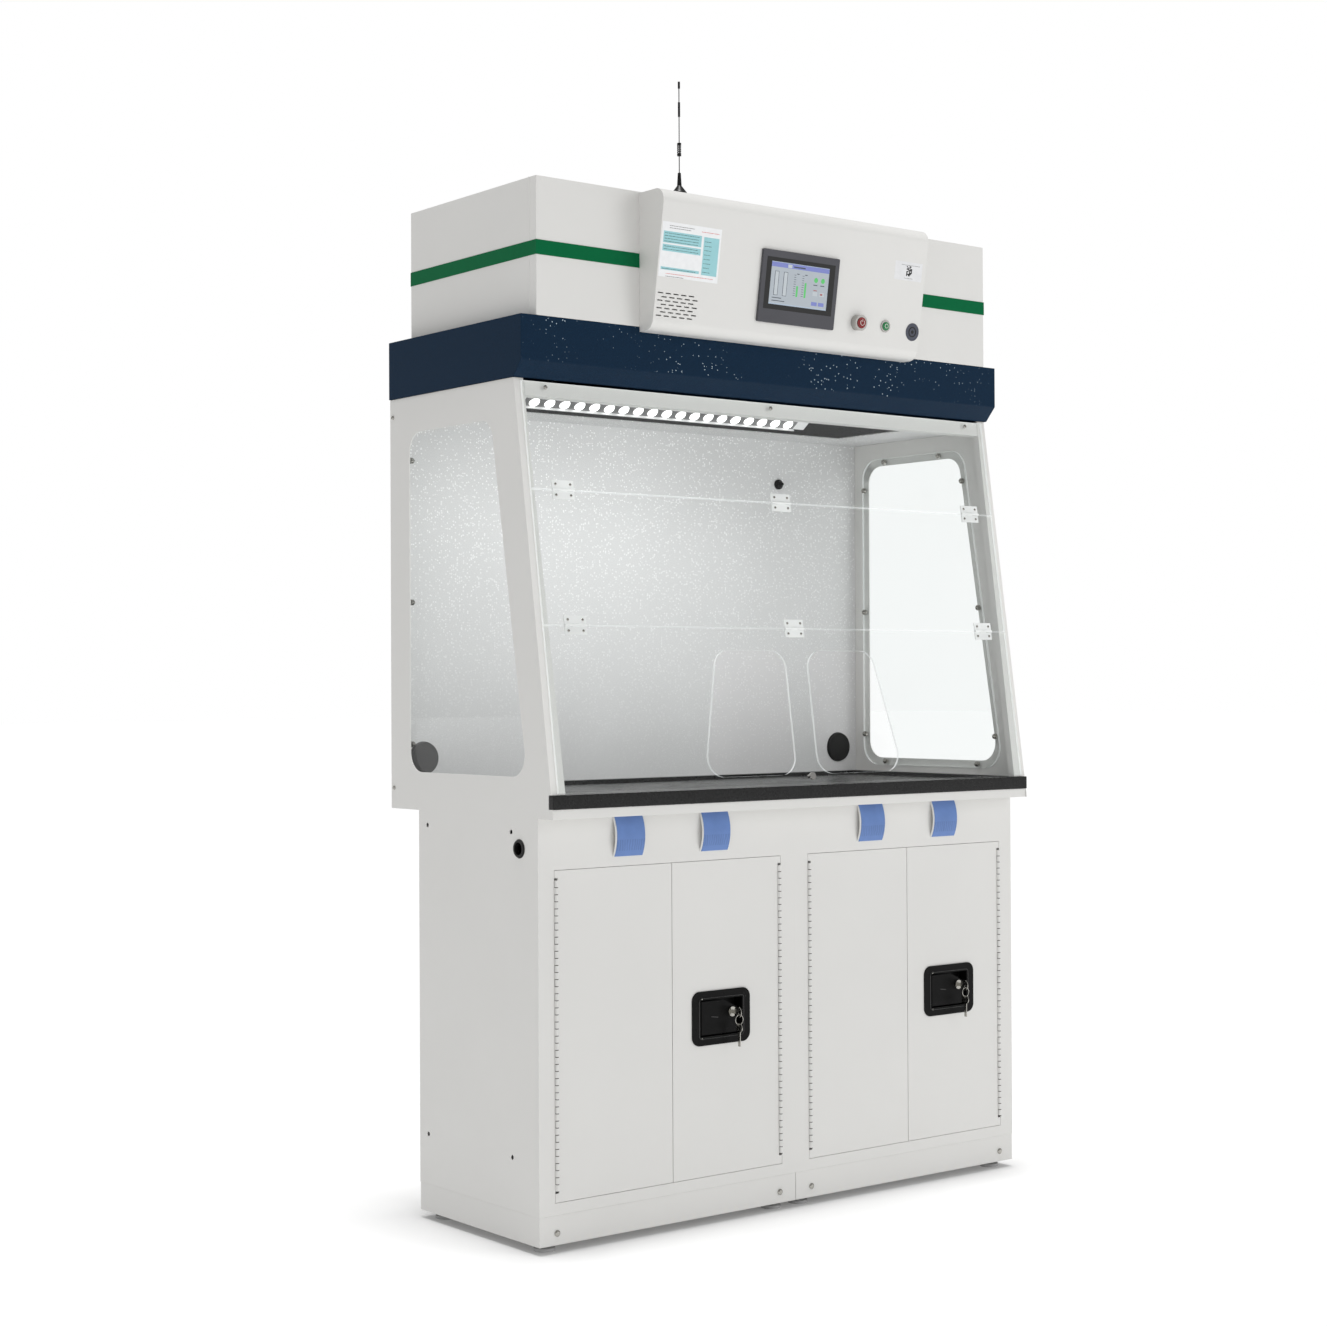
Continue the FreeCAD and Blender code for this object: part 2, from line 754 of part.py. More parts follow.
def label_strips():
    """White holders bowed out under the chamber, with a blue card on each."""
    holders = []
    cards = []
    for side in CABINETS:
        for across in (-1, 1):
            x = "%s+%d*label_offset" % (cabinet_centre(side), across)
            holders.append(curved_strip(x, 0, 2.5, "label_width", "label_height"))
            cards.append(curved_strip(x, 0.9, 0.8, "label_width-6", "label_height-2"))
    keep("label_holders", group(holders))
    keep("label_cards", group(cards))


# ---------------------------------------------------------------- work chamber
CHAMBER_TOP = "(base_height+chamber_height)"
SLOPE_LENGTH = "sqrt(chamber_height^2+(sash_head_y-sash_foot_y)^2)"


def window_outline(margin):
    """Corners of the side window, grown by a margin."""
    return [("window_foot_y-%s" % margin, "window_low_z-%s" % margin),
            ("window_rear_y+%s" % margin, "window_low_z-%s" % margin),
            ("window_rear_y+%s" % margin, "window_high_z+%s" % margin),
            ("window_head_y-%s" % margin, "window_high_z+%s" % margin)]


def side_panel(side):
    """Folded side panel: skin with a window, front post on the slope and rear and end flanges."""
    sign = CABINETS[side]
    skin_x = "hood_width/2-gauge" if sign > 0 else "-hood_width/2"
    skin = prism("YZ", [("sash_foot_y", "base_height"), ("rear_y-gauge", "base_height"),
                        ("rear_y-gauge", CHAMBER_TOP), ("sash_head_y", CHAMBER_TOP)], skin_x, "gauge")
    window = prism("YZ", window_outline(0), "%d*hood_width/2-10" % sign, 20, corner="window_corner")
    wall = "%d*(hood_width/2-gauge)" % sign
    inner_foot = "%d*(hood_width/2-post_foot_width)" % sign
    inner_head = "%d*(hood_width/2-post_head_width)" % sign
    face = prism("XZ", [(wall, 0), (inner_foot, 0), (inner_head, SLOPE_LENGTH), (wall, SLOPE_LENGTH)],
                 0, "gauge")
    edge = "%d*gauge" % sign
    fold = prism("XZ", [(inner_foot, 0), (inner_foot + "+" + edge, 0),
                        (inner_head + "+" + edge, SLOPE_LENGTH), (inner_head, SLOPE_LENGTH)],
                 0, "post_depth")
    post = on_slope(fuse(face, fold))
    inward = "hood_width/2-gauge-20" if sign > 0 else "-hood_width/2+gauge"
    rear_flange = box(inward, "rear_y-2*gauge", "base_height", 20, "gauge", "chamber_height")
    top_flange = box(inward, "0", CHAMBER_TOP + "-gauge", 20, "rear_y-2*gauge", "gauge")
    nosing_notch = box("-hood_width", "sash_foot_y-5", "worktop_z", "2*hood_width",
                       "nosing_depth+5.5", "worktop_thickness+0.5")
    foot_notch = box("-hood_width/2+gauge", "sash_foot_y-5", "base_height-5", "hood_width-2*gauge", 40,
                     "worktop_z+worktop_thickness+0.5-base_height+5")
    above = box("-hood_width", "sash_foot_y-50", CHAMBER_TOP, "2*hood_width", DEEP, 50)
    below = box("-hood_width", "sash_foot_y-50", "base_height-50", "2*hood_width", DEEP, 50)
    panel = cut(fuse(cut(skin, window), cut(post, foot_notch), rear_flange, top_flange),
                nosing_notch, above, below)
    keep(side + "_side_panel", panel)


def side_windows():
    """A clear pane inside each side panel, overlapping its opening all round."""
    panes = []
    for sign in CABINETS.values():
        x = "hood_width/2-gauge-window_thickness" if sign > 0 else "-hood_width/2+gauge"
        panes.append(prism("YZ", window_outline("window_overlap"), x, "window_thickness",
                           corner="window_corner+6"))
    keep("side_windows", group(panes))


def fastener_spots():
    """Where the window's cap nuts sit, as pairs of y and z formulas round the opening."""
    out = "window_overlap/2"
    slope = "((window_head_y-window_foot_y)/(window_high_z-window_low_z))"
    spots = []
    for fraction in (0.08, 0.5, 0.92):
        z = "(window_low_z+%s*(window_high_z-window_low_z))" % fraction
        spots.append(("window_rear_y+%s" % out, z))
        spots.append(("window_foot_y+%s*(%s-window_low_z)-%s" % (slope, z, out), z))
    for z, front in (("window_low_z-" + out, "window_foot_y"), ("window_high_z+" + out, "window_head_y")):
        spots.append((front + "+55", z))
        spots.append(("window_rear_y-60", z))
    return spots


def window_fasteners():
    """Ten cap nuts inside each window, with the bolt's low head outside."""
    nuts = []
    for sign in CABINETS.values():
        along = "-x" if sign > 0 else "x"
        face = "%d*(hood_width/2-gauge-window_thickness)" % sign
        for y, z in fastener_spots():
            collar = cylinder(face, y, z, "cap_nut_radius", 5, along)
            dome = sphere("%s-%d*5" % (face, sign), y, z, "cap_nut_radius-1.2")
            nuts.append(fuse(collar, dome))
    keep("window_fasteners", group(nuts))


def rear_walls():
    """Textured liner facing the chamber and the cover behind it, both bored for the cable ports."""
    def port_holes():
        return [cylinder("%d*port_x" % sign, "rear_y-2*liner_gap", "port_z", "port_radius+0.5",
                         "3*liner_gap", "y") for sign in (-1, 1)]
    inner_width = "hood_width-2*gauge-1"
    liner = box("-(%s)/2" % inner_width, "rear_y-liner_gap", "worktop_z", inner_width, "gauge",
                "ceiling_z-worktop_z")
    sensor_hole = cylinder("sensor_x", "rear_y-2*liner_gap", "sensor_z", 6.5, "liner_gap*3/2", "y")
    keep("rear_liner", cut(liner, sensor_hole, *port_holes()))
    cover = box("-hood_width/2", "rear_y-gauge", "base_height", "hood_width", "gauge", "chamber_height")
    keep("rear_cover", cut(cover, *port_holes()))


def port_caps():
    """Round plugs in the cable ports of the rear wall."""
    caps = []
    for sign in (-1, 1):
        x = "%d*port_x" % sign
        flange = cone(x, "rear_y-liner_gap", "port_z", "cap_radius", "cap_radius-2", 6, "-y")
        plug = cylinder(x, "rear_y-liner_gap", "port_z", "port_radius", "liner_gap+2", "y")
        caps.append(fuse(flange, plug))
    keep("port_caps", group(caps))


def airflow_sensor():
    """Gland and probe of the airflow sensor in the rear wall."""
    face = "rear_y-liner_gap"
    collar = cylinder("sensor_x", face, "sensor_z", 11, 5, "-y")
    nose = cone("sensor_x", face + "-5", "sensor_z", 9, 6, 6, "-y")
    probe = cylinder("sensor_x", face + "-11", "sensor_z", 3, 6, "-y")
    stem = cylinder("sensor_x", face, "sensor_z", 6, 18, "y")
    keep("airflow_sensor", fuse(collar, nose, probe, stem))


def ceiling_panel():
    """Ceiling sheet with the rectangular opening under the filters."""
    width = "hood_width-2*gauge-1"
    front = "sash_head_y+post_depth"
    sheet_metal = box("-(%s)/2" % width, front, "ceiling_z", width,
                      "rear_y-2*gauge-(%s)" % front, "gauge")
    opening = box("-filter_opening_length/2", "filter_opening_front_y", "ceiling_z-gauge",
                  "filter_opening_length", "filter_opening_width", "3*gauge")
    keep("ceiling_panel", cut(sheet_metal, opening))


def header_rail():
    """Folded rail between the posts above the sash."""
    half = "(hood_width/2-post_head_width-1)"
    height = SLOPE_LENGTH + "-header_low"
    face = box("-" + half, 0, "header_low", "2*" + half, "gauge", height + "-4")
    lip = box("-" + half, 0, "header_low", "2*" + half, "post_depth", "gauge")
    keep("header_rail", on_slope(fuse(face, lip)))


def base_frame():
    """Shallow tray that carries the worktop over the cabinets."""
    half = "(hood_width/2-gauge)"
    front = "(sash_foot_y+3)"
    depth = "(rear_y-2*gauge-%s)" % front
    height = "worktop_z-base_height"
    tray = box("-" + half, front, "base_height", "2*" + half, depth, height)
    hollow = box("-%s+gauge" % half, front + "+gauge", "base_height+gauge", "2*%s-2*gauge" % half,
                 depth + "-2*gauge", height)
    keep("base_frame", cut(tray, hollow))


def worktop():
    """Black worktop with a raised rim round its recessed surface."""
    half = "(hood_width/2-gauge-0.5)"
    rear = "rear_y-liner_gap"
    slab = box("-" + half, "sash_foot_y", "worktop_z", "2*" + half, rear + "-sash_foot_y",
               "worktop_thickness")
    recess = prism("XY", [("-%s+worktop_rim" % half, "sash_foot_y+worktop_rim"),
                          ("%s-worktop_rim" % half, "sash_foot_y+worktop_rim"),
                          ("%s-worktop_rim" % half, rear + "-worktop_rim"),
                          ("-%s+worktop_rim" % half, rear + "-worktop_rim")],
                   "worktop_z+worktop_thickness-worktop_recess", 20, corner=12)
    nosing = box("-hood_width/2", "sash_foot_y", "worktop_z", "hood_width", "nosing_depth",
                 "worktop_thickness")
    keep("worktop", cut(fuse(slab, nosing), recess))


# ---------------------------------------------------------------- folding sash
SASH_OUT = "(-sash_standoff-sash_thickness)"
SASH_AXIS = "(%s-sash_barrel_radius)" % SASH_OUT


def sash_sheet(low, high, *tools):
    """One acrylic section between two heights up the slope."""
    pane = box("-sash_width/2", SASH_OUT, low, "sash_width", "sash_thickness", "%s-(%s)" % (high, low))
    if tools:
        pane = cut(pane, *tools)
    return on_slope(pane)


def arm_hole(sign):
    """Rounded opening for one arm, slanting outwards and wider at the bottom."""
    inner = "%d*arm_hole_inner" % sign
    outer = "%d*arm_hole_outer" % sign
    return prism("XZ", [(inner, "arm_hole_low"), (outer, "arm_hole_low"),
                        ("%d*arm_hole_shoulder" % sign, "arm_hole_high"), (inner, "arm_hole_high")],
                 "%s-5" % SASH_OUT, 20, corner="arm_hole_corner")


def sashes():
    """Fixed upper section and the two sections that fold up on their hinges."""
    keep("upper_sash", sash_sheet("upper_hinge_row+sash_gap/2", "sash_top"))
    keep("middle_sash", sash_sheet("lower_hinge_row+sash_gap/2", "upper_hinge_row-sash_gap/2"))
    keep("lower_sash", sash_sheet("sash_low", "lower_hinge_row-sash_gap/2", arm_hole(-1), arm_hole(1)))


def sash_leaf(x, row, upward):
    """Leaf of a sash hinge above or below its row, with its share of the knuckles.

    The upper leaf has the two outer knuckles and the pin, the lower leaf the middle one.
    """
    half = "(sash_hinge_width/2)"
    clear = 0.4
    reach = "(sash_hinge_height/2)"
    start = "%s+1" % row if upward else "%s-%s" % (row, reach)
    plate = box("%s-%s" % (x, half), "%s-sash_hinge_leaf" % SASH_OUT, start,
                "sash_hinge_width", "sash_hinge_leaf", reach + "-1")
    third = "(sash_hinge_width/3)"
    if upward:
        knuckles = [cylinder("%s-%s" % (x, half), SASH_AXIS, row, "sash_barrel_radius",
                             "%s-%s" % (third, clear), "x"),
                    cylinder("%s+%s-%s+%s" % (x, half, third, clear), SASH_AXIS, row,
                             "sash_barrel_radius", "%s-%s" % (third, clear), "x"),
                    cylinder("%s-%s" % (x, half), SASH_AXIS, row, "sash_pin_radius",
                             "sash_hinge_width", "x")]
        web_low = row
        gap = box("%s-%s/2-%s" % (x, third, clear), "%s-6" % SASH_OUT, "%s-4" % row,
                  "%s+2*%s" % (third, clear), 6, 7.2)
        webs = box("%s-%s" % (x, half), "%s-sash_hinge_leaf" % SASH_OUT, web_low,
                   "sash_hinge_width", "sash_hinge_leaf", 2)
        return fuse(cut(fuse(plate, webs, *knuckles[:2]), gap), knuckles[2])
    knuckle = cylinder("%s-%s/2" % (x, third), SASH_AXIS, row, "sash_barrel_radius", third, "x")
    web = box("%s-%s/2" % (x, third), "%s-sash_hinge_leaf" % SASH_OUT, "%s-2" % row, third,
              "sash_hinge_leaf", 2)
    bore = cylinder("%s-%s" % (x, half), SASH_AXIS, row, "sash_pin_radius+0.08",
                    "sash_hinge_width", "x")
    reliefs = [box("%s%s" % (x, offset), "%s-6" % SASH_OUT, "%s-3.2" % row,
                   "%s+%s" % (third, clear), 6, 7.2)
               for offset in ("-%s-%s" % (half, clear), "+%s/2" % third)]
    return cut(fuse(plate, web, knuckle), bore, *reliefs)


def leaf_set(rows):
    """Leaves at the three places across the sash for each row and direction."""
    leaves = []
    for row, upward in rows:
        for across in (-1, 0, 1):
            leaves.append(sash_leaf("%d*sash_hinge_spacing" % across, row, upward))
    return on_slope(group(leaves))


def sash_hinges():
    """Hinge leaves carried by each section of the sash."""
    keep("upper_sash_hinges", leaf_set([("upper_hinge_row", True)]))
    keep("middle_sash_hinges", leaf_set([("upper_hinge_row", False), ("lower_hinge_row", True)]))
    keep("lower_sash_hinges", leaf_set([("lower_hinge_row", False)]))


def sash_knob():
    """Turned knob between the arm holes."""
    z = "sash_low+14"
    stem = cylinder(0, SASH_OUT, z, 4, 6, "-y")
    head = cone(0, "%s-6" % SASH_OUT, z, 5, 7.5, 3, "-y")
    crown = cylinder(0, "%s-9" % SASH_OUT, z, 7.5, 4, "-y")
    keep("sash_knob", on_slope(fuse(stem, head, crown)))


# ---------------------------------------------------------------- screws
def pan_head(x, y, z, radius, along):
    """Low domed screw head standing on a face."""
    rim = cylinder(x, y, z, radius, 1.6, along)
    step = {"x": ("+1.6", ""), "-x": ("-1.6", ""), "-y": ("", "-1.6")}[along]
    crown = cone("%s%s" % (x, step[0]), "%s%s" % (y, step[1]), z, radius, "%s*0.6" % radius, 1.4, along)
    return fuse(rim, crown)


def panel_screws():
    """Screws of the plinths, the header rail and the side panels."""
    plinth_face = "cabinet_front_y+0.5"
    heads = [pan_head("%d*%s" % (sign, x), plinth_face, 37, 6, "-y")
             for sign in (-1, 1) for x in (42, 585)]
    for sign in (-1, 1):
        for z in ("base_height+41", CHAMBER_TOP + "-36"):
            heads.append(pan_head("%d*hood_width/2" % sign, "rear_y-11", z, 4,
                                  "x" if sign > 0 else "-x"))
    clamps = group([pan_head("%d*558" % place_x, SASH_OUT, "header_low+17", 4, "-y")
                    for place_x in (-1, 0, 1)])
    heads.append(on_slope(clamps))
    keep("panel_screws", group(heads))


# ---------------------------------------------------------------- lamp
def on_lamp(item):
    """Hang a piece drawn in lamp coordinates under the ceiling, facing down and forward.

    Lamp coordinates are x, distance back across the tray and height above its face.
    """
    hung = group([item])
    tilt = Rotation(Vector(1, 0, 0), -size("lamp_tilt"))
    hung.Placement = Placement(Vector(0, size("lamp_y"), size("lamp_z")), tilt)
    return hung


def lamp():
    """Lipped tray with a row of domed lenses, and a plain bracket at each end."""
    half = "(lamp_depth/2)"
    bracket_length = 30
    tray = box("lamp_left", "-" + half, 0, "lamp_length", "lamp_depth", "lamp_thickness")
    lips = [box("lamp_left", y, "-lamp_lip", "lamp_length", 2, "lamp_lip")
            for y in ("-" + half, half + "-2")]
    ends = [box(x, "-" + half, 0, bracket_length, "lamp_depth", "lamp_thickness")
            for x in ("lamp_left-%d" % bracket_length, "lamp_left+lamp_length")]
    keep("lamp_housing", on_lamp(fuse(tray, *(lips + ends))))
    first = "lamp_left+(lamp_length-(lens_count-1)*lens_pitch)/2"
    bed = box("lamp_left+2", "-%s+2" % half, -1.5, "lamp_length-4", "lamp_depth-4", 1.5)
    dome_rise = 9
    domes = []
    for i in range(int(size("lens_count"))):
        x = "%s+%d*lens_pitch" % (first, i)
        ball = sphere(x, 0, "lens_radius-%d" % dome_rise, "lens_radius")
        room = box(x + "-lens_pitch/2", -20, -20, "lens_pitch", 40, 20)
        domes.append(common(ball, room))
    keep("lamp_lenses", on_lamp(fuse(bed, *domes)))


# ---------------------------------------------------------------- band and filter housing
BAND_TOP = "(%s+band_height)" % CHAMBER_TOP
HOUSING_TOP = "(%s+housing_height)" % BAND_TOP
HOUSING_DEPTH = "(housing_rear_y-housing_front_y)"
GLAND_X = "(housing_width/2-gland_inset)"
GLAND_Z = "(%s+gland_height)" % BAND_TOP


def band_outline(inset):
    """Side profile of the band, drawn in by the thickness of its sheet."""
    front = "band_front_y+%s" % inset
    rear = "band_rear_y-%s" % inset
    low = CHAMBER_TOP if inset == "0" else CHAMBER_TOP + "-gauge"
    top = "%s-%s" % (BAND_TOP, inset)
    return [(front + "+band_chamfer_y", low), (rear, low), (rear, top), (front, top),
            (front, CHAMBER_TOP + "+band_chamfer_z")]


def band():
    """Painted band round the top of the chamber, chamfered under its front."""
    outer = prism("YZ", band_outline("0"), "-band_width/2", "band_width")
    inner = prism("YZ", band_outline("gauge"), "-band_width/2+gauge", "band_width-2*gauge")
    through = box("-housing_width/2+gauge", "housing_front_y+gauge", BAND_TOP + "-2*gauge",
                  "housing_width-2*gauge", HOUSING_DEPTH + "-2*gauge", "4*gauge")
    keep("band", cut(outer, inner, through))


def filter_housing():
    """Front and side walls round the filters and the fan, with a cable pass to the control box."""
    shell = box("-housing_width/2", "housing_front_y", BAND_TOP, "housing_width", HOUSING_DEPTH,
                "housing_height")
    inside = box("-housing_width/2+gauge", "housing_front_y+gauge", BAND_TOP + "-gauge",
                 "housing_width-2*gauge", HOUSING_DEPTH, "housing_height+2*gauge")
    cable_pass = box("-cable_pass_width/2", "housing_front_y-gauge", BAND_TOP + "+cable_pass_low",
                     "cable_pass_width", "4*gauge", "cable_pass_width/2")
    keep("filter_housing", cut(shell, inside, cable_pass))


def housing_rear_panel():
    """Removable panel between the side walls, with the hole of the mains gland."""
    panel = box("-housing_width/2+gauge", "housing_rear_y-gauge", BAND_TOP, "housing_width-2*gauge",
                "gauge", "housing_height")
    gland_hole = cylinder(GLAND_X, "housing_rear_y-3*gauge", GLAND_Z, "gland_radius+0.3", "6*gauge", "y")
    keep("housing_rear_panel", cut(panel, gland_hole))


def roof_panel():
    """Roof lying between the walls, with a raised and slotted outlet over the fan."""
    roof = box("-housing_width/2+gauge", "housing_front_y+gauge", HOUSING_TOP + "-gauge",
               "housing_width-2*gauge", HOUSING_DEPTH + "-2*gauge", "gauge")
    rim = 20
    left = "-outlet_length/2-%d" % rim
    right = "outlet_length/2+%d" % rim
    front = "fan_y-outlet_width/2-%d" % rim
    rear = "fan_y+outlet_width/2+%d" % rim
    raised = prism("XY", [(left, front), (right, front), (right, rear), (left, rear)],
                   HOUSING_TOP, 2.5, corner=8)
    slots = []
    for i in range(int(size("outlet_columns"))):
        x = "-outlet_length/2+(%d+0.5)*outlet_length/outlet_columns-outlet_slot/2" % i
        for row in (0, 1):
            y = "fan_y-outlet_width/2+4+%d*outlet_width/2" % row
            slots.append(box(x, y, HOUSING_TOP + "-5", "outlet_slot", "outlet_width/2-8", 15))
    keep("roof_panel", cut(fuse(roof, raised), *slots))


def stripe():
    """Green stripe round both sides and up to the control box."""
    halves = []
    for sign in (-1, 1):
        outer = "%d*(housing_width/2+stripe_thickness)" % sign
        wall = "%d*(housing_width/2)" % sign
        face = "housing_front_y-stripe_thickness"
        end = "%d*(box_width/2)" % sign
        halves.append(prism("XY", [(outer, "housing_rear_y"), (outer, face), (end, face),
                                   (end, "housing_front_y"), (wall, "housing_front_y"),
                                   (wall, "housing_rear_y")], "stripe_low_z", "stripe_height"))
    keep("stripe", group(halves))


def filters():
    """Black pre-filter over the ceiling opening and the cased carbon filter on it."""
    length = "filter_opening_length+2*filter_border"
    width = "filter_opening_width+2*filter_border"
    x = "-(%s)/2" % length
    y = "filter_opening_front_y-filter_border"
    low = "ceiling_z+gauge"
    keep("prefilter", box(x, y, low, length, width, "prefilter_height"))
    carbon_low = low + "+prefilter_height"
    casing = box(x, y, carbon_low, length, width, "carbon_height")
    top_recess = box(x + "+15", y + "+15", carbon_low + "+carbon_height-8", length + "-30",
                     width + "-30", 20)
    keep("carbon_filter", cut(casing, top_recess))


# ---------------------------------------------------------------- fan
def fan_housing():
    """Fan deck with the inlet ring, and the bridge that carries the motor."""
    deck = box("-housing_width/2+gauge", "housing_front_y+gauge", "fan_plate_z",
               "housing_width-2*gauge", HOUSING_DEPTH + "-2*gauge", 3)
    eye = cylinder(0, "fan_y", "fan_plate_z-10", "impeller_eye-8", 30)
    inlet = cone(0, "fan_y", "fan_plate_z+2", "impeller_eye-4", "impeller_eye-8", 12)
    shaft_low = "fan_plate_z+8"
    motor_low = "(%s+impeller_height+14)" % shaft_low
    bridge_low = "(%s+motor_height-1)" % motor_low
    bridge = box("-impeller_radius-40", "fan_y-bridge_width/2", bridge_low, "2*impeller_radius+80",
                 "bridge_width", "bridge_thickness")
    posts = [box("%d*(impeller_radius+37)-bridge_thickness" % sign, "fan_y-bridge_width/2", "fan_plate_z",
                 "2*bridge_thickness", "bridge_width", bridge_low + "+bridge_thickness-fan_plate_z")
             for sign in (-1, 1)]
    motor = cylinder(0, "fan_y", motor_low, "motor_radius", "motor_height")
    shaft = cylinder(0, "fan_y", shaft_low, "shaft_radius", "%s+5-(%s)" % (motor_low, shaft_low))
    keep("fan_housing", fuse(cut(fuse(deck, inlet), eye), bridge, motor, shaft, *posts))


def fan_impeller():
    """Backward-curved impeller turning on the motor shaft."""
    low = "fan_plate_z+20"
    high = low + "+impeller_height"
    shroud = cut(cylinder(0, "fan_y", low, "impeller_radius", 2),
                 cylinder(0, "fan_y", low + "-2", "impeller_eye", 6))
    disc = cylinder(0, "fan_y", high + "-3", "impeller_radius", 3)
    hub = cone(0, "fan_y", low + "+10", 18, 30, "impeller_height-12")
    blades = []
    lean = Rotation(Vector(0, 0, 1), -50)
    for i in range(int(size("blade_count"))):
        turn = Rotation(Vector(0, 0, 1), i * 360.0 / size("blade_count"))
        blade = box(0, 0, 0, "impeller_radius*0.52", "blade_thickness", "impeller_height-1")
        start = turn.multVec(Vector(size("impeller_radius*0.57"), 0, 0))
        blade.Placement = Placement(start + Vector(0, size("fan_y"), size(low)),
                                    turn.multiply(lean))
        blades.append(blade)
    rim = cylinder(0, "fan_y", low, "impeller_radius", "impeller_height")
    trimmed = [common(blade, rim) for blade in blades]
    bore = cylinder(0, "fan_y", low, "shaft_radius+0.08", "impeller_height+20")
    keep("fan_impeller", cut(fuse(shroud, disc, hub, *trimmed), bore))


# ---------------------------------------------------------------- control box
def box_outline(inset):
    """Side profile of the control box, open to the housing behind it."""
    return [("band_front_y", "box_low_z+%s" % inset),
            ("box_foot_y+%s" % inset, "box_low_z+%s" % inset),
            ("box_head_y+%s" % inset, "box_high_z-%s" % inset),
            ("band_front_y", "box_high_z-%s" % inset)]


def slot_field():
    """Staggered ventilation slots, drawn in panel coordinates."""
    slots = []
    for row in range(int(size("slot_rows"))):
        for column in range(int(size("slot_columns"))):
            x = "slot_left+%s*slot_pitch_x" % (column + 0.5 * (row % 2) - 0.25)
            slots.append(box(x + "+5", -5, "slot_low+%d*slot_pitch_z" % row, "slot_length", 12,
                             "slot_height"))
    return slots


def control_box():
    """Bent box on the housing's front with openings for the panel, the buttons and the slots."""
    outer = prism("YZ", box_outline("0"), "-box_width/2", "box_width", corner="box_bend",
                  rounded=(1, 2))
    inner = prism("YZ", box_outline("gauge"), "-box_width/2+gauge", "box_width-2*gauge",
                  corner="box_bend-gauge", rounded=(1, 2))
    panel_hole = box("panel_x-panel_width/2+6", -5, "panel_low+5", "panel_width-12", 15,
                     "panel_height-10")
    button_holes = [cylinder(x, -5, "button_row", "button_hole_radius", 15, "y")
                    for x in ("power_button_x", "start_button_x")]
    openings = on_panel(group([panel_hole] + button_holes + slot_field()))
    keep("control_box", cut(outer, inner, openings))


def touch_panel():
    """Bezel and case of the operator panel, and the screen let into its face."""
    proud = 6
    low = "panel_low"
    left = "panel_x-panel_width/2"
    bezel = prism("XZ", rectangle(left, low, "panel_width", "panel_height"), -proud, proud, corner=3)
    case = box(left + "+7", 0, low + "+6", "panel_width-14", 32, "panel_height-12")
    screen_low = low + "+37"
    screen_left = "panel_x-screen_width/2-1"
    recess = box(screen_left, -proud - 1, screen_low, "screen_width", 3, "screen_height")
    keep("touch_panel", on_panel(cut(fuse(bezel, case), recess)))
    keep("touch_screen", on_panel(box(screen_left, -proud + 0.4, screen_low, "screen_width", 1.6,
                                      "screen_height")))


BUTTONS = {
    # button: (place across, collar radius, collar depth, cap radius, how deep the well goes)
    "power_button": ("power_button_x", "power_collar_radius", "power_collar_depth", 11,
                     "power_collar_depth"),
    "start_button": ("start_button_x", "start_collar_radius", "start_collar_depth", 8.5,
                     "start_collar_depth+7"),
}


def buttons():
    """Collars of the two push-buttons and the caps that travel in them."""
    proud = 1.5
    collars = []
    for name, (x, radius, depth, cap, well_depth) in BUTTONS.items():
        rim = cylinder(x, 0, "button_row", radius, depth, "-y")
        barrel = cylinder(x, 0, "button_row", "button_hole_radius-0.3", 28, "y")
        well = cylinder(x, "-%s-1" % depth, "button_row", cap + 0.4, well_depth, "y")
        stem_hole = cylinder(x, "-%s" % depth, "button_row", 4.4, "%s+20" % depth, "y")
        collars.append(cut(fuse(rim, barrel), well, stem_hole))
        head = cylinder(x, "-%s-%s" % (depth, proud), "button_row", cap, proud + 2, "y")
        stem = cylinder(x, "-" + depth, "button_row", 4, depth + "+15", "y")
        keep(name, on_panel(fuse(head, stem)))
    keep("button_collars", on_panel(group(collars)))


# ---------------------------------------------------------------- antenna and gland
def antenna():
    """Magnetic foot, whip and open loading coil of the antenna on the control box."""
    x = "antenna_x"
    y = "antenna_y"
    low = "box_high_z"
    foot = cylinder(x, y, low, "antenna_base_radius", 5)
    skirt = cone(x, y, low + "+5", "antenna_base_radius", 4.5, 13)
    neck = cone(x, y, low + "+18", 4.5, 3, 25)
    whip = cylinder(x, y, low + "+43", 0.9, "antenna_height-43")
    sleeve = cylinder(x, y, low + "+152", 2.2, 28)
    tip = cylinder(x, y, low + "+antenna_height-13", 2.2, 13)
    coil_z = low + "+coil_low"
    coil_ends = [cylinder(x, y, start, 4, "coil_collar") for start in (coil_z, coil_z + "+coil_length")]
    bars_at = [(3 * math.cos(turn), 3 * math.sin(turn)) for turn in (0, 2 * math.pi / 3, 4 * math.pi / 3)]
    coil_bars = [cylinder("%s+%s" % (x, along), "%s+%s" % (y, back), coil_z, 0.8,
                          "coil_length+coil_collar") for along, back in bars_at]
    keep("antenna", fuse(foot, skirt, neck, whip, sleeve, tip, *(coil_ends + coil_bars)))


def mains_gland():
    """Cable gland for the mains lead in the back of the housing."""
    collar = cylinder(GLAND_X, "housing_rear_y", GLAND_Z, "gland_radius+5", 5, "y")
    dome = cone(GLAND_X, "housing_rear_y+5", GLAND_Z, "gland_radius+3", "gland_radius-1", 14, "y")
    thread = cylinder(GLAND_X, "housing_rear_y-10", GLAND_Z, "gland_radius", 10, "y")
    bore = cylinder(GLAND_X, "housing_rear_y-15", GLAND_Z, "gland_radius/2", 40, "y")
    keep("mains_gland", cut(fuse(collar, dome, thread), bore))


